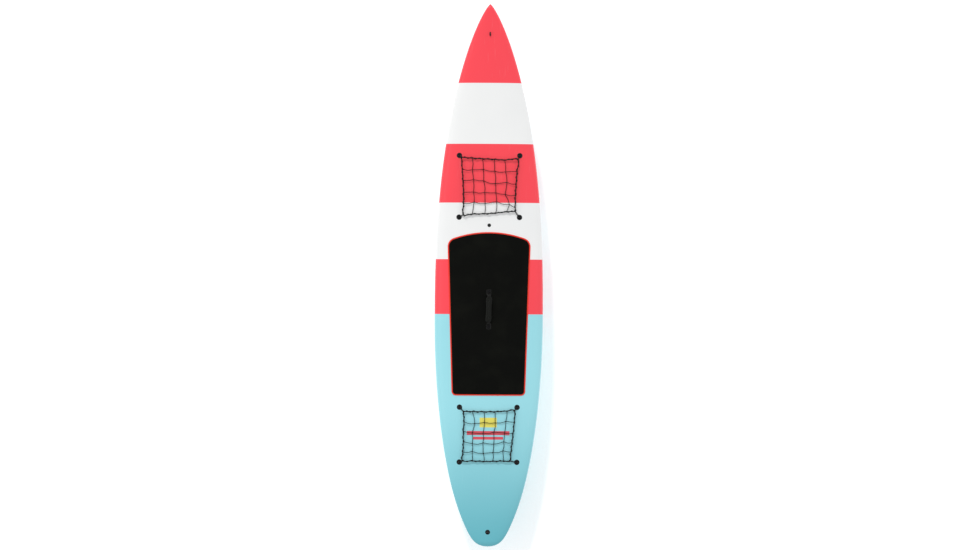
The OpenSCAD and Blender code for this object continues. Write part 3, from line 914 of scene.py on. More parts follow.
def smooth_path(knots: Array, step: float) -> Array:
    """A Catmull-Rom curve through knots, spread evenly.

    Args:
        knots: one point a row.
        step: between the curve's points.
    Returns:
        The curve, one point a row.
    """
    ends = np.vstack([2 * knots[0] - knots[1], knots, 2 * knots[-1] - knots[-2]])
    a, b, c, d = ends[:-3, None], ends[1:-2, None], ends[2:-1, None], ends[3:, None]
    t = np.linspace(0, 1, 16, endpoint=False)[None, :, None]
    curve = 0.5 * (2 * b + (c - a) * t + (2 * a - 5 * b + 4 * c - d) * t ** 2
                   + (3 * b - a - 3 * c + d) * t ** 3)
    line = np.vstack([curve.reshape(-1, knots.shape[1]), knots[-1:]])
    travel = travelled(line)
    places = np.linspace(0, travel[-1], max(3, round(travel[-1] / step)))
    return np.stack([np.interp(places, travel, line[:, k]) for k in range(knots.shape[1])], -1)


def travelled(line: Array) -> Array:
    """The length along a line at each of its points."""
    return np.concatenate([[0.0], np.cumsum(np.linalg.norm(np.diff(line, axis=0), axis=1))])


def headings(line: Array) -> Array:
    """The direction of a line at each of its points, one unit long."""
    ahead = np.gradient(line, axis=0)
    return ahead / np.linalg.norm(ahead, axis=1)[:, None]


@dataclass(frozen=True)
class Cord:
    """A round cord: strands swell it by a share of its radius, turning once in each pitch."""

    radius: float
    sides: int = 12
    strands: int = 0
    swell: float = 0.0
    pitch: float = 10.0

    def along(self, path: Array, upright: tuple[float, float, float] = (0.0, 0.0, 1.0)) -> Shape:
        """Carries the cord's ring along a path.

        At each point the ring is centre + r x (cos a x side + sin a x lift), where side is square
        to the path and to upright, lift to the path and side, and r follows the strands' turns.

        Args:
            path: the centreline. upright: a direction that the path never runs along.
        Returns:
            The closed tube, its UV map once round and in metres along.
        """
        ahead = headings(path)
        side = np.cross(ahead, upright)
        side /= np.linalg.norm(side, axis=1)[:, None]
        lift = np.cross(side, ahead)
        angle = np.linspace(0, TURN, self.sides + 1)
        travel = travelled(path)[:, None]
        radius = self.radius * (1 + self.swell * np.cos(self.strands * angle - TURN * travel / self.pitch))
        ring = (path[:, None] + (radius * np.cos(angle))[..., None] * side[:, None]
                + (radius * np.sin(angle))[..., None] * lift[:, None])
        ends = np.repeat(path[[0, -1], None], self.sides + 1, 1)
        points = np.concatenate([ends[:1], ring, ends[1:]])
        across = np.broadcast_to(angle / TURN, points.shape[:2])
        length = np.concatenate([travel[:1], travel, travel[-1:]]) * MM
        return Shape.grid(points, np.stack([across, np.broadcast_to(length, across.shape)], -1))


def knot(radius: float, flat: float = 0.8) -> Shape:
    """A tied knot: a ball with turns of cord swelling it, 1 + 0.16 x cos(3 round + 4 down).

    Args:
        radius: of the ball.
        flat: its height as a share of its width.
    Returns:
        The knot, round the origin.
    """
    down = np.linspace(0, math.pi, 8)[:, None]
    around = np.linspace(0, TURN, 12 + 1)[None]
    swell = radius * (1 + 0.16 * np.cos(3 * around + 4 * down) * np.sin(down))
    return Shape.grid(np.stack([
        swell * np.sin(down) * np.cos(around), swell * np.sin(down) * np.sin(around),
        flat * swell * np.cos(down)], -1))


def dressed(piece: bpy.types.Object, finish: Finish, body: Optional[Body], slot: str, *nodes: str
            ) -> bpy.types.Object:
    """Gives a piece its finish and its body, and hides the frame's nodes that it stands for.

    Args:
        piece: the finished mesh object. finish: its finish. body: the body it rides, or nothing
            for a piece that rides no body. slot: not used. nodes: the
            frame's nodes that it replaces.
    Returns:
        The piece.
    """
    piece.data.materials.clear()
    piece.data.materials.append(finish.material())
    if body is not None:
        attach(piece, body.value)
    if nodes:
        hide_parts(*nodes)
    log.info("%s: %d faces, %s, for %s", piece.name, len(piece.data.polygons), finish.name,
             ", ".join(nodes) or "no node")
    return piece


# ---- Board --------------------------------------------------------------------------------


def signed_power(value: Array, power: float) -> Array:
    """A number's size raised to a power, with its sign kept."""
    return np.sign(value) * np.abs(value) ** power


@dataclass(frozen=True)
class Seat:
    """A place on the board with its own axes, square to the surface there."""

    origin: Array
    turn: Array

    def place(self, points: Array) -> Array:
        """Takes points from the seat's axes to the board's."""
        return points @ self.turn.T + self.origin


def tilted(origin: Sequence[float], about_x: float, about_y: float) -> Seat:
    """A seat turned about X and then about Y, in radians.

    Args:
        origin: its place.
        about_x: the first turn, in radians.
        about_y: the second turn, in radians.
    Returns:
        The seat.
    """
    cx, sx, cy, sy = math.cos(about_x), math.sin(about_x), math.cos(about_y), math.sin(about_y)
    first = np.array([[1, 0, 0], [0, cx, -sx], [0, sx, cx]])
    second = np.array([[cy, 0, sy], [0, 1, 0], [-sy, 0, cy]])
    return Seat(np.array(origin, float), second @ first)


@dataclass(frozen=True)
class BoardForm:
    """Outline, rocker and sections of the board, as functions of the place along it."""

    half_length: float = 1905.0
    half_beam: float = 381.0
    wide_back: float = 285.0
    depth: float = 150.0
    nose_rocker: float = 120.0
    tail_rocker: float = 50.0
    nose_flat: float = 250.0
    tail_flat: float = -500.0
    rail_share: float = 0.45
    nose_thin: float = 100.0
    tail_thin: float = 108.0
    tip_roll: float = 40.0
    tip_point: float = 8.0
    tail_full: float = 0.4
    deck_power: float = 2.8
    rail_power: float = 2.2

    def half_width(self, y: Array) -> Array:
        """381 x (1 - n^2.4)^0.78 x sqrt(1 - t^2) x (1 + 0.4 t^30), with n and t the shares of the
        way from the widest place to the nose and the tail. In the last few millimetres of the nose y runs on
        half as far, so that the outline is still open there, and a quarter circle rounds it.

        Args:
            y: places along the board.
        Returns:
            The half widths.
        """
        reach = self.half_length - self.tip_point
        last = np.clip((y - reach) / self.tip_point, 0, 1)
        inner = np.minimum(y, reach) + self.tip_point * (last - last ** 2 / 2)
        nose = np.maximum(0, (inner + self.wide_back) / (self.half_length + self.wide_back))
        tail = np.maximum(0, (-self.wide_back - inner) / (self.half_length - self.wide_back))
        width = self.half_beam * (1 - nose ** 2.4) ** 0.78 * np.sqrt(np.maximum(0, 1 - tail ** 2))
        width = width * (1 + self.tail_full * tail ** 30)
        return width * np.sqrt(np.maximum(0, 1 - last ** 2))

    def bottom(self, y: Array) -> Array:
        """Height of the bottom: flat in the middle, rising by a power towards each end.

        Args:
            y: places along the board.
        Returns:
            The heights.
        """
        nose = np.maximum(0, (y - self.nose_flat) / (self.half_length - self.nose_flat))
        tail = np.maximum(0, (self.tail_flat - y) / (self.half_length + self.tail_flat))
        return self.nose_rocker * nose ** 2.3 + self.tail_rocker * tail ** 2.2

    def thickness(self, y: Array) -> Array:
        """Depth from deck to bottom on the middle line, thinner towards each end.

        Args:
            y: places along the board.
        Returns:
            The depths.
        """
        share = y / self.half_length
        return (self.depth - self.nose_thin * np.maximum(0, share) ** 2.6
                - self.tail_thin * np.maximum(0, -share) ** 2.8)

    def rail(self, y: Array) -> Array:
        """Height of the widest line of the rail."""
        return self.bottom(y) + self.rail_share * self.thickness(y)

    def tip(self, y: Array) -> Array:
        """Share of the depth left: a quarter circle over the last stretch at each end."""
        roll = np.clip(1 - (self.half_length - np.abs(y)) / self.tip_roll, 0, 1)
        return np.sqrt(np.maximum(0, 1 - roll ** 2))

    def deck_height(self, x: Array, y: Array) -> Array:
        """Height of the deck at a place: rail + rise x (1 - |x / w|^2.8)^(1 / 2.8).

        Args:
            x: places across the board.
            y: places along the board.
        Returns:
            The heights.
        """
        share = np.minimum(1, np.abs(x) / np.maximum(1e-6, self.half_width(y)))
        rise = (1 - self.rail_share) * self.thickness(y) * self.tip(y)
        return self.rail(y) + rise * (1 - share ** self.deck_power) ** (1 / self.deck_power)

    def seat(self, x: float, y: float) -> Seat:
        """The seat of a fitting on the deck, from the deck's slopes over 2 mm.

        Args:
            x: its place across the board.
            y: its place along the board.
        Returns:
            The seat.
        """
        across = (self.deck_height(x + 1, y) - self.deck_height(x - 1, y)) / 2
        along = (self.deck_height(x, y + 1) - self.deck_height(x, y - 1)) / 2
        return tilted((x, y, float(self.deck_height(x, y))), math.atan(along), -math.atan(across))

    def deck_half(self, y: Array, angle: Array, inset: float) -> tuple[Array, Array]:
        """(x, z) of the upper section: w x sin(a)^(2/2.8), rail + rise x cos(a)^(2/2.8).

        Args:
            y: places along the board.
            angle: round the section, from the middle of the board.
            inset: of the surface from the paint.
        Returns:
            The places across and up.
        """
        rise = (1 - self.rail_share) * self.thickness(y) * self.tip(y) - inset
        x = (self.half_width(y) - inset) * signed_power(np.sin(angle), 2 / self.deck_power)
        return x, self.rail(y) + rise * np.maximum(0, np.cos(angle)) ** (2 / self.deck_power)

    def hull_half(self, y: Array, angle: Array, inset: float) -> tuple[Array, Array]:
        """(x, z) of the lower section: a flat to f, then f + (w - f) x sin(a)^(2/2.2) and
        rail - drop x cos(a)^(2/2.2). The first third of the angle's range is the flat.

        Args:
            y: places along the board.
            angle: round the section, from the middle of the board.
            inset: of the surface from the paint.
        Returns:
            The places across and up.
        """
        width = self.half_width(y) - inset
        drop = self.rail_share * self.thickness(y) * self.tip(y) - inset
        nose = np.maximum(0, (y - self.nose_flat) / (self.half_length - self.nose_flat))
        flat = (0.6 - 0.3 * nose ** 1.5) * width
        share = np.abs(angle) / (math.pi / 2)
        bend = np.clip((share - 0.3) / 0.7, 0, 1) * math.pi / 2
        x = flat * np.minimum(1, share / 0.3) + (width - flat) * np.sin(bend) ** (2 / self.rail_power)
        z = self.rail(y) - drop * np.maximum(0, np.cos(bend)) ** (2 / self.rail_power)
        return np.sign(angle) * x, z


@dataclass
class Skins:
    """The two laminate shells, each 2 mm thick, that meet along the rails."""

    form: BoardForm
    stations: int = 300
    columns: int = 44
    laminate: float = 2.0
    tip_fill: float = 24.0
    deck_holes: list[Shape] = field(default_factory=list)
    hull_holes: list[Shape] = field(default_factory=list)

    def shell(self, half: Callable[[Array, Array, float], tuple[Array, Array]]) -> Shape:
        """A closed shell from one half section.

        Stations lie at reach x cos(i), close together at the tips. The outer surface runs from
        rail to rail, the inner one back, so one row of the grid is a whole closed section.

        Args:
            half: gives (x, z) from the place along, the angle and the inset.
        Returns:
            The shell, its UV map the share of the way to the rail and metres along.
        """
        turn = np.cos(np.linspace(0, math.pi, self.stations))[:, None]
        angle = np.linspace(-math.pi / 2, math.pi / 2, 2 * self.columns + 1)[None]
        outer_y, inner_y = self.form.half_length * turn, (self.form.half_length - self.tip_fill) * turn
        pinch = (np.abs(turn) < 1 - 1e-9).astype(float)
        outer_x, outer_z = half(outer_y, angle, 0.0)
        inner_x, inner_z = half(inner_y, angle[:, ::-1], self.laminate)
        level = self.form.rail(inner_y)
        inner_z = level + (inner_z - level) * pinch
        outer = np.stack(np.broadcast_arrays(outer_x, outer_y, outer_z), -1)
        inner = np.stack(np.broadcast_arrays(inner_x * pinch, inner_y, inner_z), -1)
        points = np.concatenate([outer, inner, outer[:, :1]], 1)
        share = np.concatenate([angle, angle[:, ::-1], angle[:, :1]], 1) / (math.pi / 2)
        uv = np.stack(np.broadcast_arrays(share, points[..., 1] * MM), -1)
        return Shape.grid(points, uv)

    def build(self) -> None:
        """Makes both shells and cuts the pockets of the fittings out of them."""
        deck = carved(self.shell(self.form.deck_half).piece("deck_shell"), self.deck_holes)
        dressed(deck, DECK_PAINT, Body.BOARD, "deck_paint", "deck_skin")
        hull = carved(self.shell(self.form.hull_half).piece("hull_shell"), self.hull_holes)
        dressed(hull, HULL_PAINT, Body.BOARD, "hull_paint", "hull_skin")


# ---- Deck pad -----------------------------------------------------------------------------


@dataclass(frozen=True)
class PadLayer:
    """One layer of the pad, with the openings that it has over the handle's anchors."""

    name: str
    node: str
    finish: FoamPad
    inset: float                   # of its plan
    low: float                     # its lower and upper face, over the deck
    high: float
    edge: float                    # rounding of its upper edge
    opening: tuple[float, float, float]   # length, width and corner of each opening
    shift: float                   # of each opening, towards the middle of the handle


PAD_LAYERS = (
    PadLayer("pad_line_sheet", "pad_base", PAD_CORAL, 0.0, 0.2, 2.7, 0.8, (64.0, 44.0, 12.0), 3.0),
    PadLayer("pad_deck_sheet", "pad_top", PAD_BLACK, 9.0, 2.9, 6.4, 1.4, (44.0, 33.0, 8.0), 4.5),
)


@dataclass
class DeckPad:
    """Two layers of EVA sheet on the deck: a coral one that shows as a line round a black one."""

    form: BoardForm
    front: float = 306.0
    rear: float = -841.0
    half_front: float = 294.0
    half_rear: float = 258.0
    arc: float = 745.0
    corner_front: float = 62.0
    corner_rear: float = 30.0
    spine_inset: float = 200.0     # from both ends of the pad to the ends of its middle line
    rows: int = 22
    edge_rows: int = 5
    cut: Place = (30.0, 40.0)      # how far an opening's block reaches below and above the deck

    def outline(self, count: int = 420) -> tuple[Array, Array]:
        """The plan of the pad, from the middle of the front round the right side to the rear.

        Arcs about three centres are joined by straight lines: the front edge about a point far
        behind it, the front corner where it is its radius inside both the arc and the side, and
        the rear corner where it is its radius inside the side and the rear edge.

        Args:
            count: points on the outline.
        Returns:
            Points and the outward normals at them, evenly spaced, the left half mirrored.
        """
        side = np.array([self.half_rear - self.half_front, self.rear - self.front])
        normal = np.array([-side[1], side[0]]) / np.linalg.norm(side)
        reach = normal @ [self.half_front, self.front]
        centre = np.array([0.0, self.front - self.arc])
        tilt = math.atan2(normal[1], normal[0])
        lean = math.asin((reach - self.corner_front - normal @ centre) / (self.arc - self.corner_front))
        turn = lean - tilt
        front = centre + (self.arc - self.corner_front) * np.array([math.sin(turn), math.cos(turn)])
        level = self.rear + self.corner_rear
        rear = np.array([(reach - self.corner_rear - normal[1] * level) / normal[0], level])
        arcs = [
            (centre, self.arc, 0.0, turn),
            (front, self.corner_front, turn, math.pi / 2 - tilt),
            (rear, self.corner_rear, math.pi / 2 - tilt, math.pi),
        ]
        bends = [np.linspace(start, stop, 60) for _, _, start, stop in arcs]
        runs = [middle + radius * np.stack([np.sin(bend), np.cos(bend)], -1)
                for (middle, radius, _, _), bend in zip(arcs, bends)]
        line = np.vstack(runs + [np.array([[0.0, self.rear]])])
        facing = np.concatenate(bends + [np.array([math.pi])])
        travel = travelled(line)
        places = np.linspace(0, travel[-1], count // 2)
        half = np.stack([np.interp(places, travel, line[:, k]) for k in (0, 1)], -1)
        angle = np.interp(places, travel, facing)
        out = np.stack([np.sin(angle), np.cos(angle)], -1)
        mirror = np.array([-1, 1])
        return np.vstack([half, half[::-1] * mirror]), np.vstack([out, out[::-1] * mirror])

    def sheet(self, layer: PadLayer) -> Shape:
        """One layer as a closed surface.

        Rows run from the middle line out over the top, round the edge and back below. Inside the
        edge a row lies a share of the way from the middle line to the edge.

        Args:
            layer: its sizes.
        Returns:
            The layer, without its openings.
        """
        ring, out = self.outline()
        edge = layer.edge
        start = ring - out * (layer.inset + edge)
        ends = self.rear + self.spine_inset, self.front - self.spine_inset
        spine = np.stack([0 * ring[:, 0], np.clip(ring[:, 1], *ends)], -1)
        share = np.linspace(0, 1, self.rows)[:, None, None]
        flat = spine + (start - spine) * share
        roll = np.linspace(0, math.pi / 2, self.edge_rows)[1:, None]
        rim = start + out * (edge * np.sin(roll))[..., None]
        rim_drop = edge * (1 - np.cos(roll))
        plan = np.concatenate([flat, rim, rim[-1:], flat[::-1]])
        lift = np.concatenate([np.full((len(flat), 1), layer.high), layer.high - rim_drop,
                               np.full((len(flat) + 1, 1), layer.low)])
        z = self.form.deck_height(plan[..., 0], plan[..., 1]) + lift
        return Shape.grid(np.concatenate([plan, z[..., None]], -1))

    def openings(self, layer: PadLayer) -> list[Shape]:
        """Blocks that cut a layer's openings over the handle's anchors.

        Args:
            layer: its sizes.
        Returns:
            A block for each anchor.
        """
        middle = sum(HANDLE_ANCHORS) / 2
        cutters = []
        below, above = self.cut
        for anchor in HANDLE_ANCHORS:
            y = anchor + math.copysign(layer.shift, middle - anchor)
            outline = slot_outline(*layer.opening) + [0.0, y]
            cutters.append(prism(outline, self.form.depth - below, self.form.depth + above))
        return cutters

    def build(self) -> None:
        """Makes the coral layer and the black layer."""
        for layer in PAD_LAYERS:
            sheet = carved(self.sheet(layer).piece(layer.name), self.openings(layer))
            dressed(sheet, layer.finish, Body.BOARD, layer.finish.name, layer.node)


# ---- Handle -------------------------------------------------------------------------------


@dataclass
class CarryHandle:
    """A webbing strap screwed to the deck at both ends, with a two-lobed neoprene grip."""

    form: BoardForm
    tab_half: float = 15.0
    tab_lift: float = 1.6
    grip_length: float = 170.0
    grip_height: float = 28.0
    strap_width: float = 25.0
    strap_thickness: float = 2.2
    waist: float = 18.0
    flare: float = 5.0
    half_thickness: float = 8.0
    skew: float = math.radians(1.6)
    groove_depth: float = 0.42     # share of the thickness that the sewn channel takes
    groove_width: float = 3.4
    slit_half: Place = (13.2, 1.6)   # half width and half height of the sleeve's closed ends
    stitch: Place = (0.42, 1.7)      # radius and half length of a stitch
    stitch_pitch: float = 5.2
    stitch_reach: float = 72.0
    stitch_spread: float = 2.1
    held_past: float = 2.0         # how far past the tab's inner end the build puts the strap's held point

    @property
    def middle(self) -> float:
        """Place of the handle's middle along the board."""
        return sum(HANDLE_ANCHORS) / 2

    @property
    def span(self) -> float:
        """Half of the distance between the anchors."""
        return abs(HANDLE_ANCHORS[0] - HANDLE_ANCHORS[1]) / 2

    def lean(self, v: Array) -> Array:
        """Sideways shift at a distance from the middle: a slight turn, none at the anchors."""
        return math.tan(self.skew) * v * np.clip((self.span - np.abs(v)) / 30, 0, 1)

    def strap_height(self, v: Array) -> Array:
        """Height of the strap: on the deck at its tab, level through the grip, and t^2(3 - 2t)
        of the way up between them.

        Args:
            v: distances from the handle's middle.
        Returns:
            The heights.
        """
        rise = self.span - self.tab_half - self.grip_length / 2
        t = np.clip((self.span - self.tab_half - np.abs(v)) / rise, 0, 1)
        share = t * t * (3 - 2 * t)
        low = self.form.deck_height(0 * v, self.middle + v) + self.tab_lift
        high = self.form.deck_height(0.0, self.middle) + self.grip_height
        return low * (1 - share) + high * share

    def strap(self, side: int) -> Shape:
        """One half of the strap, from the middle to the end of its tab.

        A flat rounded section, x = w x cos(a)^0.35 and z = t x sin(a)^0.6, rides square to the
        strap's line, with ribs along it: t x (1 + 0.1 x cos(ribs x)).

        Args:
            side: 1 for the half towards the nose, -1 for the other.
        Returns:
            The closed surface, its UV map in metres across and along.
        """
        v = side * np.linspace(0, self.span + self.tab_half, 110)
        line = np.stack([self.lean(v), self.middle + v, self.strap_height(v)], -1)
        slope = headings(line)
        lift = np.stack([0 * v, -slope[:, 2], slope[:, 1]], -1) * side
        angle = np.linspace(0, TURN, 73)
        across = self.strap_width / 2 * signed_power(np.cos(angle), 0.35)
        ribs = 1 + 0.1 * np.cos(TURN * across / 2.5)
        thick = self.strap_thickness / 2 * signed_power(np.sin(angle), 0.6) * ribs
        ring = line[:, None] + across[None, :, None] * np.array([1.0, 0, 0]) \
            + thick[None, :, None] * lift[:, None]
        ends = np.repeat(line[[0, -1], None], len(angle), 1)
        points = np.concatenate([ends[:1], ring, ends[1:]])
        length = np.concatenate([v[:1], v, v[-1:]])[:, None]
        uv = np.stack(np.broadcast_arrays(across[None] * MM, length * MM), -1)
        return Shape.grid(points, uv)

    def grip_section(self, u: Array) -> tuple[Array, Array]:
        """Half width and half thickness of the grip at a share of its half length: wider to the
        ends, and rounded off over the last stretch."""
        end = np.sqrt(np.maximum(0, 1 - np.abs(u) ** 10)) * 0.5 + 0.5
        return (self.waist + self.flare * u ** 2) * end, self.half_thickness * end

    def groove(self, x: Array) -> Array:
        """Share of the thickness left by the sewn channel down the middle of the grip."""
        return 1 - self.groove_depth * np.exp(-(x / self.groove_width) ** 2)

    def grip(self) -> Shape:
        """The sleeve: a full rounded section with a sewn channel down its middle, puckered by its
        stitches and at its ends: x = w x cos(a)^0.8, z = t x sin(a)^0.8 x groove x pucker.

        Returns:
            The closed sleeve in its place.
        """
        u = np.cos(np.linspace(0, math.pi, 150))[:, None]
        angle = np.linspace(0, TURN, 97)[None]
        width, thick = self.grip_section(u)
        x = width * signed_power(np.cos(angle), 0.8)
        y = self.grip_length / 2 * u
        pucker = 1 + 0.05 * np.exp(-(x / 6) ** 2) * np.cos(TURN * y / self.stitch_pitch)
        pucker = pucker + 0.045 * np.abs(u) ** 6 * np.cos(9 * angle + 3 * np.sign(u))
        z = thick * signed_power(np.sin(angle), 0.8) * self.groove(x) * pucker
        body = np.stack(np.broadcast_arrays(x, y + 0 * x, z), -1)
        slit_x, slit_z = self.slit_half
        slit = np.stack(np.broadcast_arrays(slit_x * np.cos(angle), y[[0, -1]] * 0.985,
                                            slit_z * np.sin(angle)), -1)
        pole = slit * np.array([0.0, 1.0, 0.0])
        rows = np.concatenate([pole[:1], slit[:1], body, slit[1:], pole[1:]])
        uv = np.stack([np.broadcast_to(angle * 10 * MM, rows.shape[:2]), rows[..., 1] * MM], -1)
        return Shape.grid(rows, uv).moved(self.set_in_place)

    def set_in_place(self, points: Array) -> Array:
        """Takes the grip from its own middle to its place over the deck, with its slight turn.

        Args:
            points: round the grip's own middle.
        Returns:
            The points over the deck.
        """
        middle = np.array([0.0, self.middle, float(self.form.deck_height(0.0, self.middle))
                           + self.grip_height])
        shifted = points + middle
        shifted[:, 0] += math.tan(self.skew) * points[:, 1]
        return shifted

    def stitches(self) -> Shape:
        """Two rows of short thread stitches, each a slim rounded bead, down the sewn channel.

        Returns:
            All the stitches as one surface.
        """
        down = np.linspace(0, math.pi, 6)[:, None]
        around = np.linspace(0, TURN, 7)[None]
        radius, half = self.stitch
        bead = Shape.grid(np.stack([
            radius * np.sin(down) * np.cos(around), half * np.cos(down) + 0 * around,
            radius * np.sin(down) * np.sin(around)], -1))
        places = np.arange(-self.stitch_reach, self.stitch_reach + 1, self.stitch_pitch)
        y, side = np.meshgrid(places, [-1, 1])
        x = self.stitch_spread * side.ravel()
        y = y.ravel()
        _, thick = self.grip_section(2 * y / self.grip_length)
        top = thick * self.groove(x) * (1 - (np.abs(x) / 30) ** 2) + 0.25
        centres = np.concatenate([np.stack([x, y, top], -1), np.stack([x, y, -top], -1)])
        return bead.scattered(centres).moved(self.set_in_place)

    def build(self) -> None:
        """Makes the grip with its stitching, and the two halves of the strap."""
        grip = dressed(self.grip().piece("handle_grip_sleeve", 60), GRIP_CLOTH, Body.HANDLE,
                       "grip_fabric", "handle_grip")
        dressed(self.stitches().piece("handle_grip_stitching"), THREAD, Body.HANDLE, "grip_fabric")
        for name, side in (("front", 1), ("rear", -1)):
            half = dressed(self.strap(side).piece(f"handle_strap_{name}", 50), STRAP_CLOTH, None,
                           "webbing", "handle_webbing")
            level = float(self.form.deck_height(0.0, self.middle)) * MM
            held = self.span - self.tab_half + self.held_past
            fixed = (0.0, (self.middle + side * held) * MM, level)
            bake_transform(half)


# ---- Fittings on the deck -----------------------------------------------------------------


@dataclass(frozen=True)
class Fitting:
    """A round moulded fitting let into the deck, and the opening that the deck shell has for it."""

    flange: float
    profile: tuple[Place, ...]
    rounding: float = 0.5
    closed: bool = False

    def turned(self, seat: Seat) -> Shape:
        """The fitting at its seat: its eased profile turned round its own axis."""
        return lathe(eased(self.profile, self.rounding, self.closed)).moved(seat.place)

    def opening(self, seat: Seat) -> Shape:
        """A round block that cuts the deck shell for the flange."""
        outline = slot_outline(2 * self.flange + 0.4, 2 * self.flange + 0.4)
        return prism(outline, CUT_LOW, CUT_HIGH).moved(seat.place)


def bar(radius: float, length: float, seat: Seat) -> Shape:
    """A pin along X with eased ends, in its seat.

    Args:
        radius: of the pin.
        length: of the pin.
        seat: of its plug or cup.
    Returns:
        The pin in its place.
    """
    corners = ((0, -length / 2), (radius, -length / 2), (radius, length / 2), (0, length / 2))
    turned = lathe(eased(corners, 0.5), 24)
    return turned.moved(lambda p: seat.place(np.stack([p[:, 2], p[:, 0], p[:, 1] + PIN_HEIGHT], -1)))


NET_PLUG = Fitting(19.0, (
    (0, -15), (14.5, -15), (14.5, -2), (19, -2), (19, 0.3), (17.4, 1.4), (13.6, 1.4), (12.6, 0.4),
    (12.6, -13.4), (0, -13.4)))
LEASH_CUP = Fitting(17.0, (
    (0, -16), (13.6, -16), (13.6, -2), (17, -2), (17, 0.3), (15.6, 1.4), (12.5, 1.4), (11.6, 0.5),
    (11.6, -14), (0, -14)))
VENT_HOUSING = Fitting(12.5, (
    (1.5, -22), (9.5, -22), (9.5, -2), (12.5, -2), (12.5, 0.2), (11.4, 1.2), (8.9, 1.2), (8.3, 0.6),
    (8.3, -1.4), (6.8, -1.4), (6.8, -3.7), (4.08, -3.7), (4.08, -14), (5.5, -14), (5.5, -16),
    (1.5, -16)), 0.35, True)


@dataclass
class DeckFittings:
    """Net plugs and their pins, the leash cup and its pin, and the vent's housing."""

    form: BoardForm
    vent_y: float = 354.0
    leash_y: float = -1802.0
    bow_y: float = 1694.0
    net_pin: Place = (1.9, 27.8)       # radius and length of each pin
    leash_pin: Place = (2.4, 25.8)
    eye_opening: Place = (30.4, 8.4)
    insert_opening: Place = (22.4, 22.4)
    corners: tuple[str, ...] = ("left_fore", "right_fore", "right_aft", "left_aft")
    front: tuple[Place, ...] = ((-212, 843), (212, 843), (212, 410), (-212, 410))
    rear: tuple[Place, ...] = ((-202, -923), (202, -923), (202, -1309), (-202, -1309))

    def plug_seats(self) -> dict[str, Seat]:
        """The seat of each net plug, by the end of its node's name.

        Returns:
            The seats, by the end of each plug's node name.
        """
        return {f"{net}_{corner}": self.form.seat(*place)
                for net, places in (("front", self.front), ("rear", self.rear))
                for corner, place in zip(self.corners, places)}

    def deck_openings(self) -> list[Shape]:
        """The blocks that cut the deck shell for every fitting.

        Returns:
            The blocks in their places.
        """
        cutters = [NET_PLUG.opening(seat) for seat in self.plug_seats().values()]
        cutters.append(VENT_HOUSING.opening(self.form.seat(0, self.vent_y)))
        cutters.append(LEASH_CUP.opening(self.form.seat(0, self.leash_y)))
        eye = prism(slot_outline(*self.eye_opening), CUT_LOW, CUT_HIGH)
        cutters.append(eye.moved(self.form.seat(0, self.bow_y).place))
        insert = prism(slot_outline(*self.insert_opening), CUT_LOW, CUT_HIGH)
        return cutters + [insert.moved(self.form.seat(0, y).place) for y in HANDLE_ANCHORS]

    def build(self) -> None:
        """Makes each plug, cup and pin in a piece of its own."""
        for name, seat in self.plug_seats().items():
            plug = NET_PLUG.turned(seat).piece(f"plug_{name}")
            dressed(plug, BLACK_PLASTIC, Body.BOARD, "black_plastic", f"net_plug_{name}")
            pin = bar(*self.net_pin, seat).piece(f"pin_{name}")
            dressed(pin, PIN_STEEL, Body.BOARD, "stainless", f"net_pin_{name}")
        leash = self.form.seat(0, self.leash_y)
        dressed(LEASH_CUP.turned(leash).piece("leash_bowl"), BLACK_PLASTIC, Body.BOARD,
                "black_plastic", "leash_cup")
        dressed(bar(*self.leash_pin, leash).piece("leash_bar"), PIN_STEEL, Body.BOARD, "stainless",
                "leash_pin")
        dressed(VENT_HOUSING.turned(self.form.seat(0, self.vent_y)).piece("vent_body"),
                BLACK_PLASTIC, Body.BOARD, "black_plastic", "vent_housing")


# ---- Cargo nets ---------------------------------------------------------------------------


Knots = tuple[tuple[Place, ...], ...]


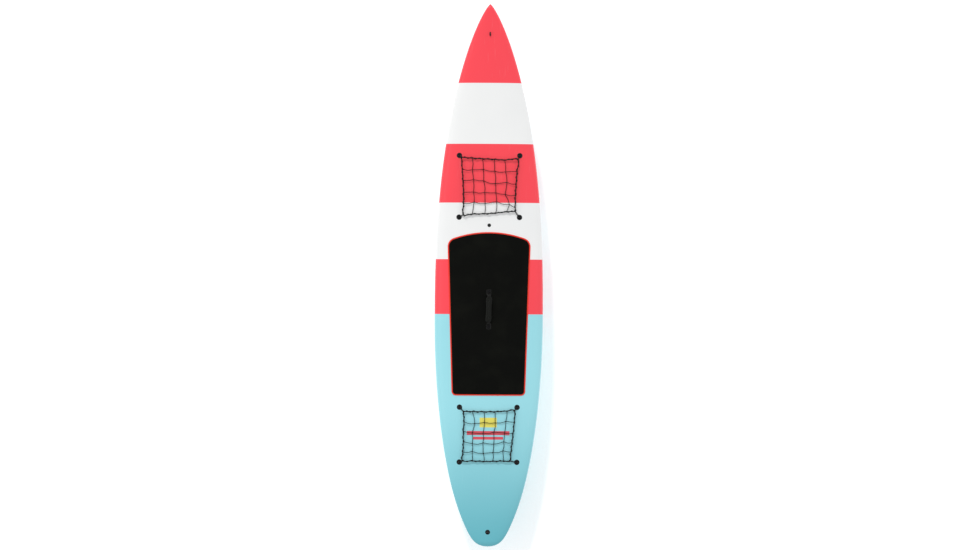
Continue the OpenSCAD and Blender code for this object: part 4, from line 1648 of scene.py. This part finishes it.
@dataclass
class CargoNet:
    """A knotted net on an elastic border, looped to four plugs.

    The knots are in rows from the nose end and from left to right. The first and last of each row
    and column lie on the border.
    """

    form: BoardForm
    name: str
    knots: Knots
    plugs: dict[str, Seat]
    lift: float = 10.0
    border: Cord = Cord(3.7, 14)
    strand: Cord = Cord(2.1, 9, 3, 0.14, 11.0)
    whip: Cord = Cord(1.9, 8, 3, 0.14, 9.0)
    loop: Cord = Cord(2.0, 10)
    loop_radius: float = 4.6
    loop_spread: Place = (1.0, 1.8)    # half the gap between a loop's two strands, and its swell
    step: float = 2.2                  # between the points of a strand
    row_push: Place = (0.0, -3.4)      # how a row's slack is pushed, and how far it hangs down
    row_sag: float = 1.2
    column_push: Place = (2.2, 0.0)
    column_sag: float = 3.4
    belly: float = 1.6                 # how much lower a strand hangs in the middle
    knot_sag: float = 3.0
    wind: float = 5.4                  # radius of the loose winding round the border
    wind_swell: float = 1.6
    wind_pitch: float = 52.0

    def raised(self, flat: Array, sag: float = 0.0) -> Array:
        """Points at the net's height over the deck's middle line, less a sag."""
        height = self.form.deck_height(0 * flat[:, 0], flat[:, 1]) + self.lift - sag
        return np.column_stack([flat, height])

    def table(self) -> Array:
        """The knots as an array of rows, columns and (x, y)."""
        return np.array(self.knots, float)

    def edge(self) -> Array:
        """The border's knots in order, once round the net from its first corner."""
        k = self.table()
        return np.vstack([k[0], k[1:, -1], k[-1, -2::-1], k[-2::-1, 0]])

    def slack(self, line: Array, push: Array, seed: int) -> Array:
        """A strand's knots with a point of slack put between each two, pushed one way by an
        amount that a sine of the strand's own number varies.

        Args:
            line: the strand's knots.
            push: the way that the slack goes.
            seed: the strand's number.
        Returns:
            The strand's points.
        """
        middle = (line[:-1] + line[1:]) / 2
        amount = 1 + np.sin(2.4 * np.arange(len(middle)) + 1.7 * seed)
        middle = middle + push * amount[:, None]
        mixed = np.empty((len(line) + len(middle), 2))
        mixed[0::2], mixed[1::2] = line, middle
        return mixed

    def strands(self) -> Shape:
        """The net's own twine: a slack line through each inner row and column of knots.

        Returns:
            All the strands as one surface.
        """
        k = self.table()
        made = []
        for i in range(1, len(k) - 1):
            for line, push, sag in ((k[i], self.row_push, self.row_sag),
                                    (k[:, i], self.column_push, self.column_sag)):
                flat = smooth_path(self.slack(line, np.array(push), i), self.step)
                dip = sag + self.belly * np.sin(np.linspace(0, math.pi, len(flat)))
                made.append(self.strand.along(self.raised(flat, dip)))
        return joined(made)

    def ties(self) -> Shape:
        """A knot at each crossing, and a bigger one where a strand meets the border.

        Returns:
            All the knots as one surface.
        """
        k = self.table()
        inner = k[1:-1, 1:-1].reshape(-1, 2)
        outer = self.edge()[:-1]
        small = knot(4.2).scattered(self.raised(inner, self.knot_sag))
        return small + knot(4.6, 0.95).scattered(self.raised(outer, 0.4))

    def border_line(self, step: float) -> Array:
        """The border's centreline."""
        return self.raised(smooth_path(self.edge(), step))

    def whipping(self) -> Shape:
        """Twine wound loosely round the border: its radius swells and shrinks along the way.

        Returns:
            The wound twine.
        """
        line = self.border_line(2.0)
        travel = travelled(line)
        side = np.cross(headings(line), (0.0, 0.0, 1.0))
        radius = self.wind + self.wind_swell * np.sin(travel / 61.0) * np.sin(travel / 37.0)
        turn = TURN * travel / self.wind_pitch + 0.8 * np.sin(travel / 45.0)
        path = line + side * (radius * np.cos(turn))[:, None]
        path[:, 2] += np.maximum(-4.6, radius * np.sin(turn))
        return self.whip.along(path)

    def loops(self) -> Shape:
        """At each corner, an eye of cord round the plug's pin and two strands up to the border,
        tied with a knot at each end.

        Returns:
            The loops of all four corners as one surface.
        """
        k = self.table()
        corners = self.raised(np.array([k[0, 0], k[0, -1], k[-1, -1], k[-1, 0]]))
        turn = np.linspace(0, TURN, 40)
        eye = np.stack([0 * turn, self.loop_radius * np.sin(turn),
                        PIN_HEIGHT + self.loop_radius * np.cos(turn)], -1)
        made = []
        for corner, seat in zip(corners, self.plugs.values()):
            low = seat.place(np.array([[0, 0, PIN_HEIGHT + self.loop_radius]]))[0]
            made.append(self.loop.along(seat.place(eye), tuple(seat.turn[:, 0])))
            ahead = corner - low
            side = np.cross(ahead, (0.0, 0.0, 1.0))
            side /= np.linalg.norm(side)
            share = np.linspace(0, 1, 16)[:, None]
            gap, swell = self.loop_spread
            bow = side * (gap + swell * np.sin(math.pi * share))
            made += [self.loop.along(low + ahead * share + sign * bow) for sign in (-1, 1)]
            made.append(knot(4.2, 0.9).scattered(low[None]))
            made.append(knot(6.6, 0.8).scattered(corner[None]))
        return joined(made)

    def build(self) -> None:
        """Makes the border, the net with its knots, and the corner loops."""
        border = self.border.along(self.border_line(3.0)).piece(f"{self.name}_border_cord")
        dressed(border, ELASTIC, Body.BOARD, "elastic_cord", f"{self.name}_net_border")
        dressed(self.whipping().piece(f"{self.name}_border_whipping"), TWINE, Body.BOARD, "net_twine")
        dressed(self.strands().piece(f"{self.name}_net_twine"), TWINE, Body.BOARD, "net_twine",
                f"{self.name}_net_mesh")
        dressed(self.ties().piece(f"{self.name}_net_knots"), TWINE, Body.BOARD, "net_twine")
        dressed(self.loops().piece(f"{self.name}_corner_loops"), ELASTIC, Body.BOARD,
                "elastic_cord", f"{self.name}_net_loops")


FRONT_KNOTS: Knots = (
    ((-197, 830), (-121, 824), (-49, 820), (34, 816), (105, 812), (199, 815)),
    ((-192, 748), (-120, 742), (-43, 744), (37, 732), (114, 729), (193, 732)),
    ((-186, 667), (-112, 672), (-40, 664), (42, 646), (122, 654), (187, 643)),
    ((-182, 584), (-111, 586), (-32, 584), (45, 581), (112, 570), (182, 565)),
    ((-181, 506), (-108, 514), (-30, 506), (51, 518), (139, 500), (181, 478)),
    ((-182, 427), (-119, 432), (-32, 434), (45, 440), (122, 449), (179, 454)),
)
REAR_KNOTS: Knots = (
    ((-174, -952), (-112, -953), (-29, -954), (48, -953), (131, -948), (183, -945)),
    ((-170, -1025), (-95, -1038), (-26, -1030), (49, -1032), (123, -1022), (182, -1027)),
    ((-175, -1092), (-111, -1103), (-35, -1106), (40, -1097), (115, -1103), (175, -1103)),
    ((-174, -1165), (-111, -1179), (-36, -1174), (40, -1181), (110, -1165), (168, -1170)),
    ((-177, -1237), (-111, -1235), (-34, -1246), (35, -1240), (104, -1229), (160, -1237)),
    ((-179, -1298), (-108, -1300), (-27, -1303), (32, -1302), (108, -1299), (152, -1299)),
)


# ---- Fin ----------------------------------------------------------------------------------


@dataclass
class TailFin:
    """A swept moulded fin with a base that slides in the box under the tail."""

    form: BoardForm
    y: float = -1438.0
    depth: float = 230.0
    base: float = 165.0
    base_width: float = 9.1
    tab: float = 19.5
    lip: float = 7.6
    lip_length: float = 30.0
    recess: float = 3.4
    tip_chord: float = 42.0
    sweep: float = 150.0
    sunk: float = 0.6               # how far the blade reaches up into the base
    screw_seat: float = 21.0        # length of the step under the screw's head
    box_opening_size: Place = (273.4, 28.4)
    box_cut: Place = (-12.0, 14.0)  # ends of the block that cuts the hull shell for the box

    def seat(self) -> Seat:
        """The fin box's seat, at the bottom's slope."""
        slope = (self.form.bottom(np.array(self.y + 1)) - self.form.bottom(np.array(self.y - 1))) / 2
        return tilted((0, self.y, float(self.form.bottom(np.array(self.y)))), math.atan(slope), 0.0)

    def blade(self) -> Shape:
        """The blade: at share w of the way down, the front edge is swept back by w^1.7 and the
        chord shrinks by w^1.25 to a round tip; its half thickness is t x sin(pi s^0.7)^0.9.

        Returns:
            The closed blade, in the seat's own axes.
        """
        w = (1 - (1 - np.linspace(0, 1, 70)) ** 1.6)[:, None]
        chord = self.base - self.lip_length + 2
        length = self.tip_chord + (chord - self.tip_chord) * (1 - w ** 1.25)
        front = chord - self.base / 2 - self.sweep * w ** 1.7
        last = np.clip((w - 0.86) / 0.14, 0, 1)
        shrink = np.sqrt(np.maximum(0, 1 - last ** 2.2))
        front = front - length * (1 - shrink) * 0.42
        t = np.linspace(0, 2, 81)[None]
        s = (1 - np.cos(math.pi * np.where(t <= 1, t, 2 - t))) / 2
        foil = np.maximum(0, np.sin(math.pi * s ** 0.7)) ** 0.9
        x = np.where(t <= 1, 1, -1) * (0.55 - 0.3 * w) * 0.9 * self.base_width * foil * shrink
        y = front - length * shrink * s
        z = self.sunk - (self.depth + self.sunk) * w + 0 * s
        rows = np.stack([x, y, z], -1)
        top = rows[:1].copy()
        top[..., 0] = 0
        return Shape.grid(np.concatenate([top, rows]))

    def tab_block(self) -> Shape:
        """The base: its side outline drawn across the fin's width.

        Returns:
            The closed block, in the seat's own axes.
        """
        half = self.base / 2
        step, seat = half - self.lip_length, half - self.screw_seat
        outline = np.array([
            (-half, self.sunk), (step, self.sunk), (seat, self.sunk), (seat, self.recess),
            (half, self.recess), (half, self.lip), (step, self.lip), (step, self.tab),
            (-half, self.tab)])
        block = prism(outline, -self.base_width / 2, self.base_width / 2)
        return block.moved(lambda p: np.stack([p[:, 2], p[:, 0], p[:, 1]], -1))

    def box_opening(self) -> Shape:
        """The block that cuts the hull shell for the fin box."""
        return prism(slot_outline(*self.box_opening_size), *self.box_cut).moved(self.seat().place)

    def build(self) -> None:
        """Makes the fin from its blade and its base."""
        place = self.seat().place
        fin = bevelled(self.tab_block().moved(place).piece("fin_base"), 0.5)
        dressed(fin, FIN_PLASTIC, Body.FIN, "fin_plastic")
        blade = self.blade().moved(place).piece("fin_blade", 60)
        dressed(blade, FIN_PLASTIC, Body.FIN, "fin_plastic", "fin")


# ---- Nodes of the frame that stay ---------------------------------------------------------


@dataclass
class KeptParts:
    """Parts of the frame whose shape is right: fresh eased copies where they show, and new
    finishes on the ones inside."""

    eased_copies: tuple[tuple[str, float, Finish, Body, str], ...] = (
        ("bow_eye", 0.9, BLACK_PLASTIC, Body.BOARD, "black_plastic"),
        ("vent_screw", 0.25, BLACK_PLASTIC, Body.VENT_SCREW, "black_plastic"),
        ("fin_box", 0.35, BLACK_PLASTIC, Body.BOARD, "black_plastic"),
        ("handle_washer_front", 0.3, BLACK_STEEL, Body.BOARD, "stainless"),
        ("handle_washer_rear", 0.3, BLACK_STEEL, Body.BOARD, "stainless"),
        ("handle_screw_front", 0.3, BLACK_STEEL, Body.BOARD, "stainless"),
        ("handle_screw_rear", 0.3, BLACK_STEEL, Body.BOARD, "stainless"),
        ("fin_screw", 0.15, STEEL, Body.FIN_SCREW, "stainless"),
    )
    finishes: dict[str, tuple[Finish, str]] = field(default_factory=lambda: {
        "core_left": (FOAM_CORE, "foam_core"),
        "core_right": (FOAM_CORE, "foam_core"),
        "stringer": (PLYWOOD, "stringer_wood"),
        "handle_insert_front": (BRASS, "brass"),
        "handle_insert_rear": (BRASS, "brass"),
        "vent_membrane": (MEMBRANE, "membrane"),
        "vent_o_ring": (RUBBER, "rubber"),
        "fin_box_block": (DENSE_FOAM, "dense_foam"),
        "fin_pin": (BRASS, "brass"),
        "fin_nut": (STEEL, "stainless"),
        "fin_washer": (STEEL, "stainless"),
    })

    def eased_copy(self, node: str, width: float) -> bpy.types.Object:
        """A copy of a node with its loose triangles merged into flats and its edges rounded.

        Args:
            node: its name in the frame.
            width: of the rounding.
        Returns:
            The copy.
        """
        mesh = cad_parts[node].data.copy()
        work = bmesh.new()
        work.from_mesh(mesh)
        bmesh.ops.remove_doubles(work, verts=work.verts, dist=1e-6)
        bmesh.ops.dissolve_limit(work, angle_limit=math.radians(1), verts=work.verts, edges=work.edges)
        work.to_mesh(mesh)
        work.free()
        return bevelled(linked(f"{node}_eased", mesh), width)

    def build(self) -> None:
        """Replaces the nodes that show and gives the others their finishes."""
        for node, width, finish, body, slot in self.eased_copies:
            dressed(self.eased_copy(node, width), finish, body, slot, node)
        for node, (finish, slot) in self.finishes.items():
            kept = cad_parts[node]
            kept.data.materials.clear()
            kept.data.materials.append(finish.material())
            log.info("%s: kept, %s", node, finish.name)


# ---- Studio -------------------------------------------------------------------------------


@dataclass
class Studio:
    """A pale floor, soft light from the nose side and a camera straight over the deck."""

    camera_height: float = 24.0
    camera_place: Place = (0.0002, 0.0053)
    roll: float = math.radians(0.305)
    lens: float = 125.2
    sensor: float = 36.0
    clip_end: float = 60.0
    floor_z: float = -0.206
    floor_half: float = 40.0
    sun_energy: float = 1.15
    sun_blur: float = math.radians(5)
    sun_from: tuple[float, float, float] = (-0.3, 1.2, 0.95)
    box_place: tuple[float, float, float] = (4.2, 0.4, 3.4)
    box_size: Place = (1.6, 5.0)
    box_energy: Place = (16.0, 4.0)     # of the left one and the right one
    sky: float = 0.75
    sky_colour: Colour = (0.97, 0.98, 1.0, 1.0)

    def floor(self) -> None:
        """A wide flat sheet of paper just under the fin's tip, its face upwards."""
        across = np.linspace(-self.floor_half, self.floor_half, 40) / MM
        x, y = np.meshgrid(across, across)
        sheet = Shape.grid(np.stack([x, y, np.full_like(x, self.floor_z / MM)], -1)).piece("floor")
        if sheet.data.polygons[0].normal.z < 0:
            sheet.data.flip_normals()
        sheet.data.materials.append(FloorPaper().material())

    def light(self) -> None:
        """A soft sun from the nose side and the left, two wide soft boxes, and a pale sky."""
        sun = bpy.data.lights.new("key", "SUN")
        sun.energy, sun.angle = self.sun_energy, self.sun_blur
        key = linked_light(sun)
        direction = np.array(self.sun_from)
        key.rotation_euler = (
            0.0, math.acos(direction[2] / np.linalg.norm(direction)),
            math.atan2(direction[1], direction[0]))
        out, along, up = self.box_place
        for name, x, energy in zip(("box_left", "box_right"), (-out, out), self.box_energy):
            box = bpy.data.lights.new(name, "AREA")
            box.shape, box.energy = "RECTANGLE", energy
            box.size, box.size_y = self.box_size
            lamp = linked_light(box)
            lamp.location = (x, along, up)
            lamp.rotation_euler = (0.0, math.atan2(x, up), 0.0)
        world = bpy.data.worlds.new("studio")
        world.use_nodes = True
        world.node_tree.nodes["Background"].inputs[0].default_value = self.sky_colour
        world.node_tree.nodes["Background"].inputs[1].default_value = self.sky
        bpy.context.scene.world = world

    def camera(self) -> None:
        """The camera looks straight down on the deck, with the nose at the top."""
        data = bpy.data.cameras.new("camera")
        data.sensor_width, data.lens = self.sensor, self.lens
        data.clip_end = self.clip_end
        camera = bpy.data.objects.new("camera", data)
        camera.location = (*self.camera_place, self.camera_height)
        camera.rotation_euler = (0.0, 0.0, self.roll)
        bpy.context.scene.collection.objects.link(camera)
        bpy.context.scene.camera = camera

    def build(self) -> None:
        """Makes the floor, the lights and the camera."""
        self.floor()
        self.light()
        self.camera()
        bpy.context.scene.view_settings.view_transform = "Standard"


def linked_light(light: bpy.types.Light) -> bpy.types.Object:
    """Puts a light into the scene.

    Args:
        light: the light's data.
    Returns:
        Its object.
    """
    lamp = bpy.data.objects.new(light.name, light)
    bpy.context.scene.collection.objects.link(lamp)
    return lamp


# ---- Assembly -----------------------------------------------------------------------------


def main() -> None:
    """Builds every sub-assembly in order."""
    logging.basicConfig(level=logging.INFO, format="%(name)s: %(message)s")
    form = BoardForm()
    Studio().build()
    fittings = DeckFittings(form)
    fin = TailFin(form)
    Skins(form, deck_holes=fittings.deck_openings(), hull_holes=[fin.box_opening()]).build()
    DeckPad(form).build()
    CarryHandle(form).build()
    fittings.build()
    seats = fittings.plug_seats()
    for name, knots in (("front", FRONT_KNOTS), ("rear", REAR_KNOTS)):
        plugs = {key: seat for key, seat in seats.items() if key.startswith(name)}
        CargoNet(form, name, knots, plugs).build()
    fin.build()
    KeptParts().build()


if __name__ == "__main__":
    main()
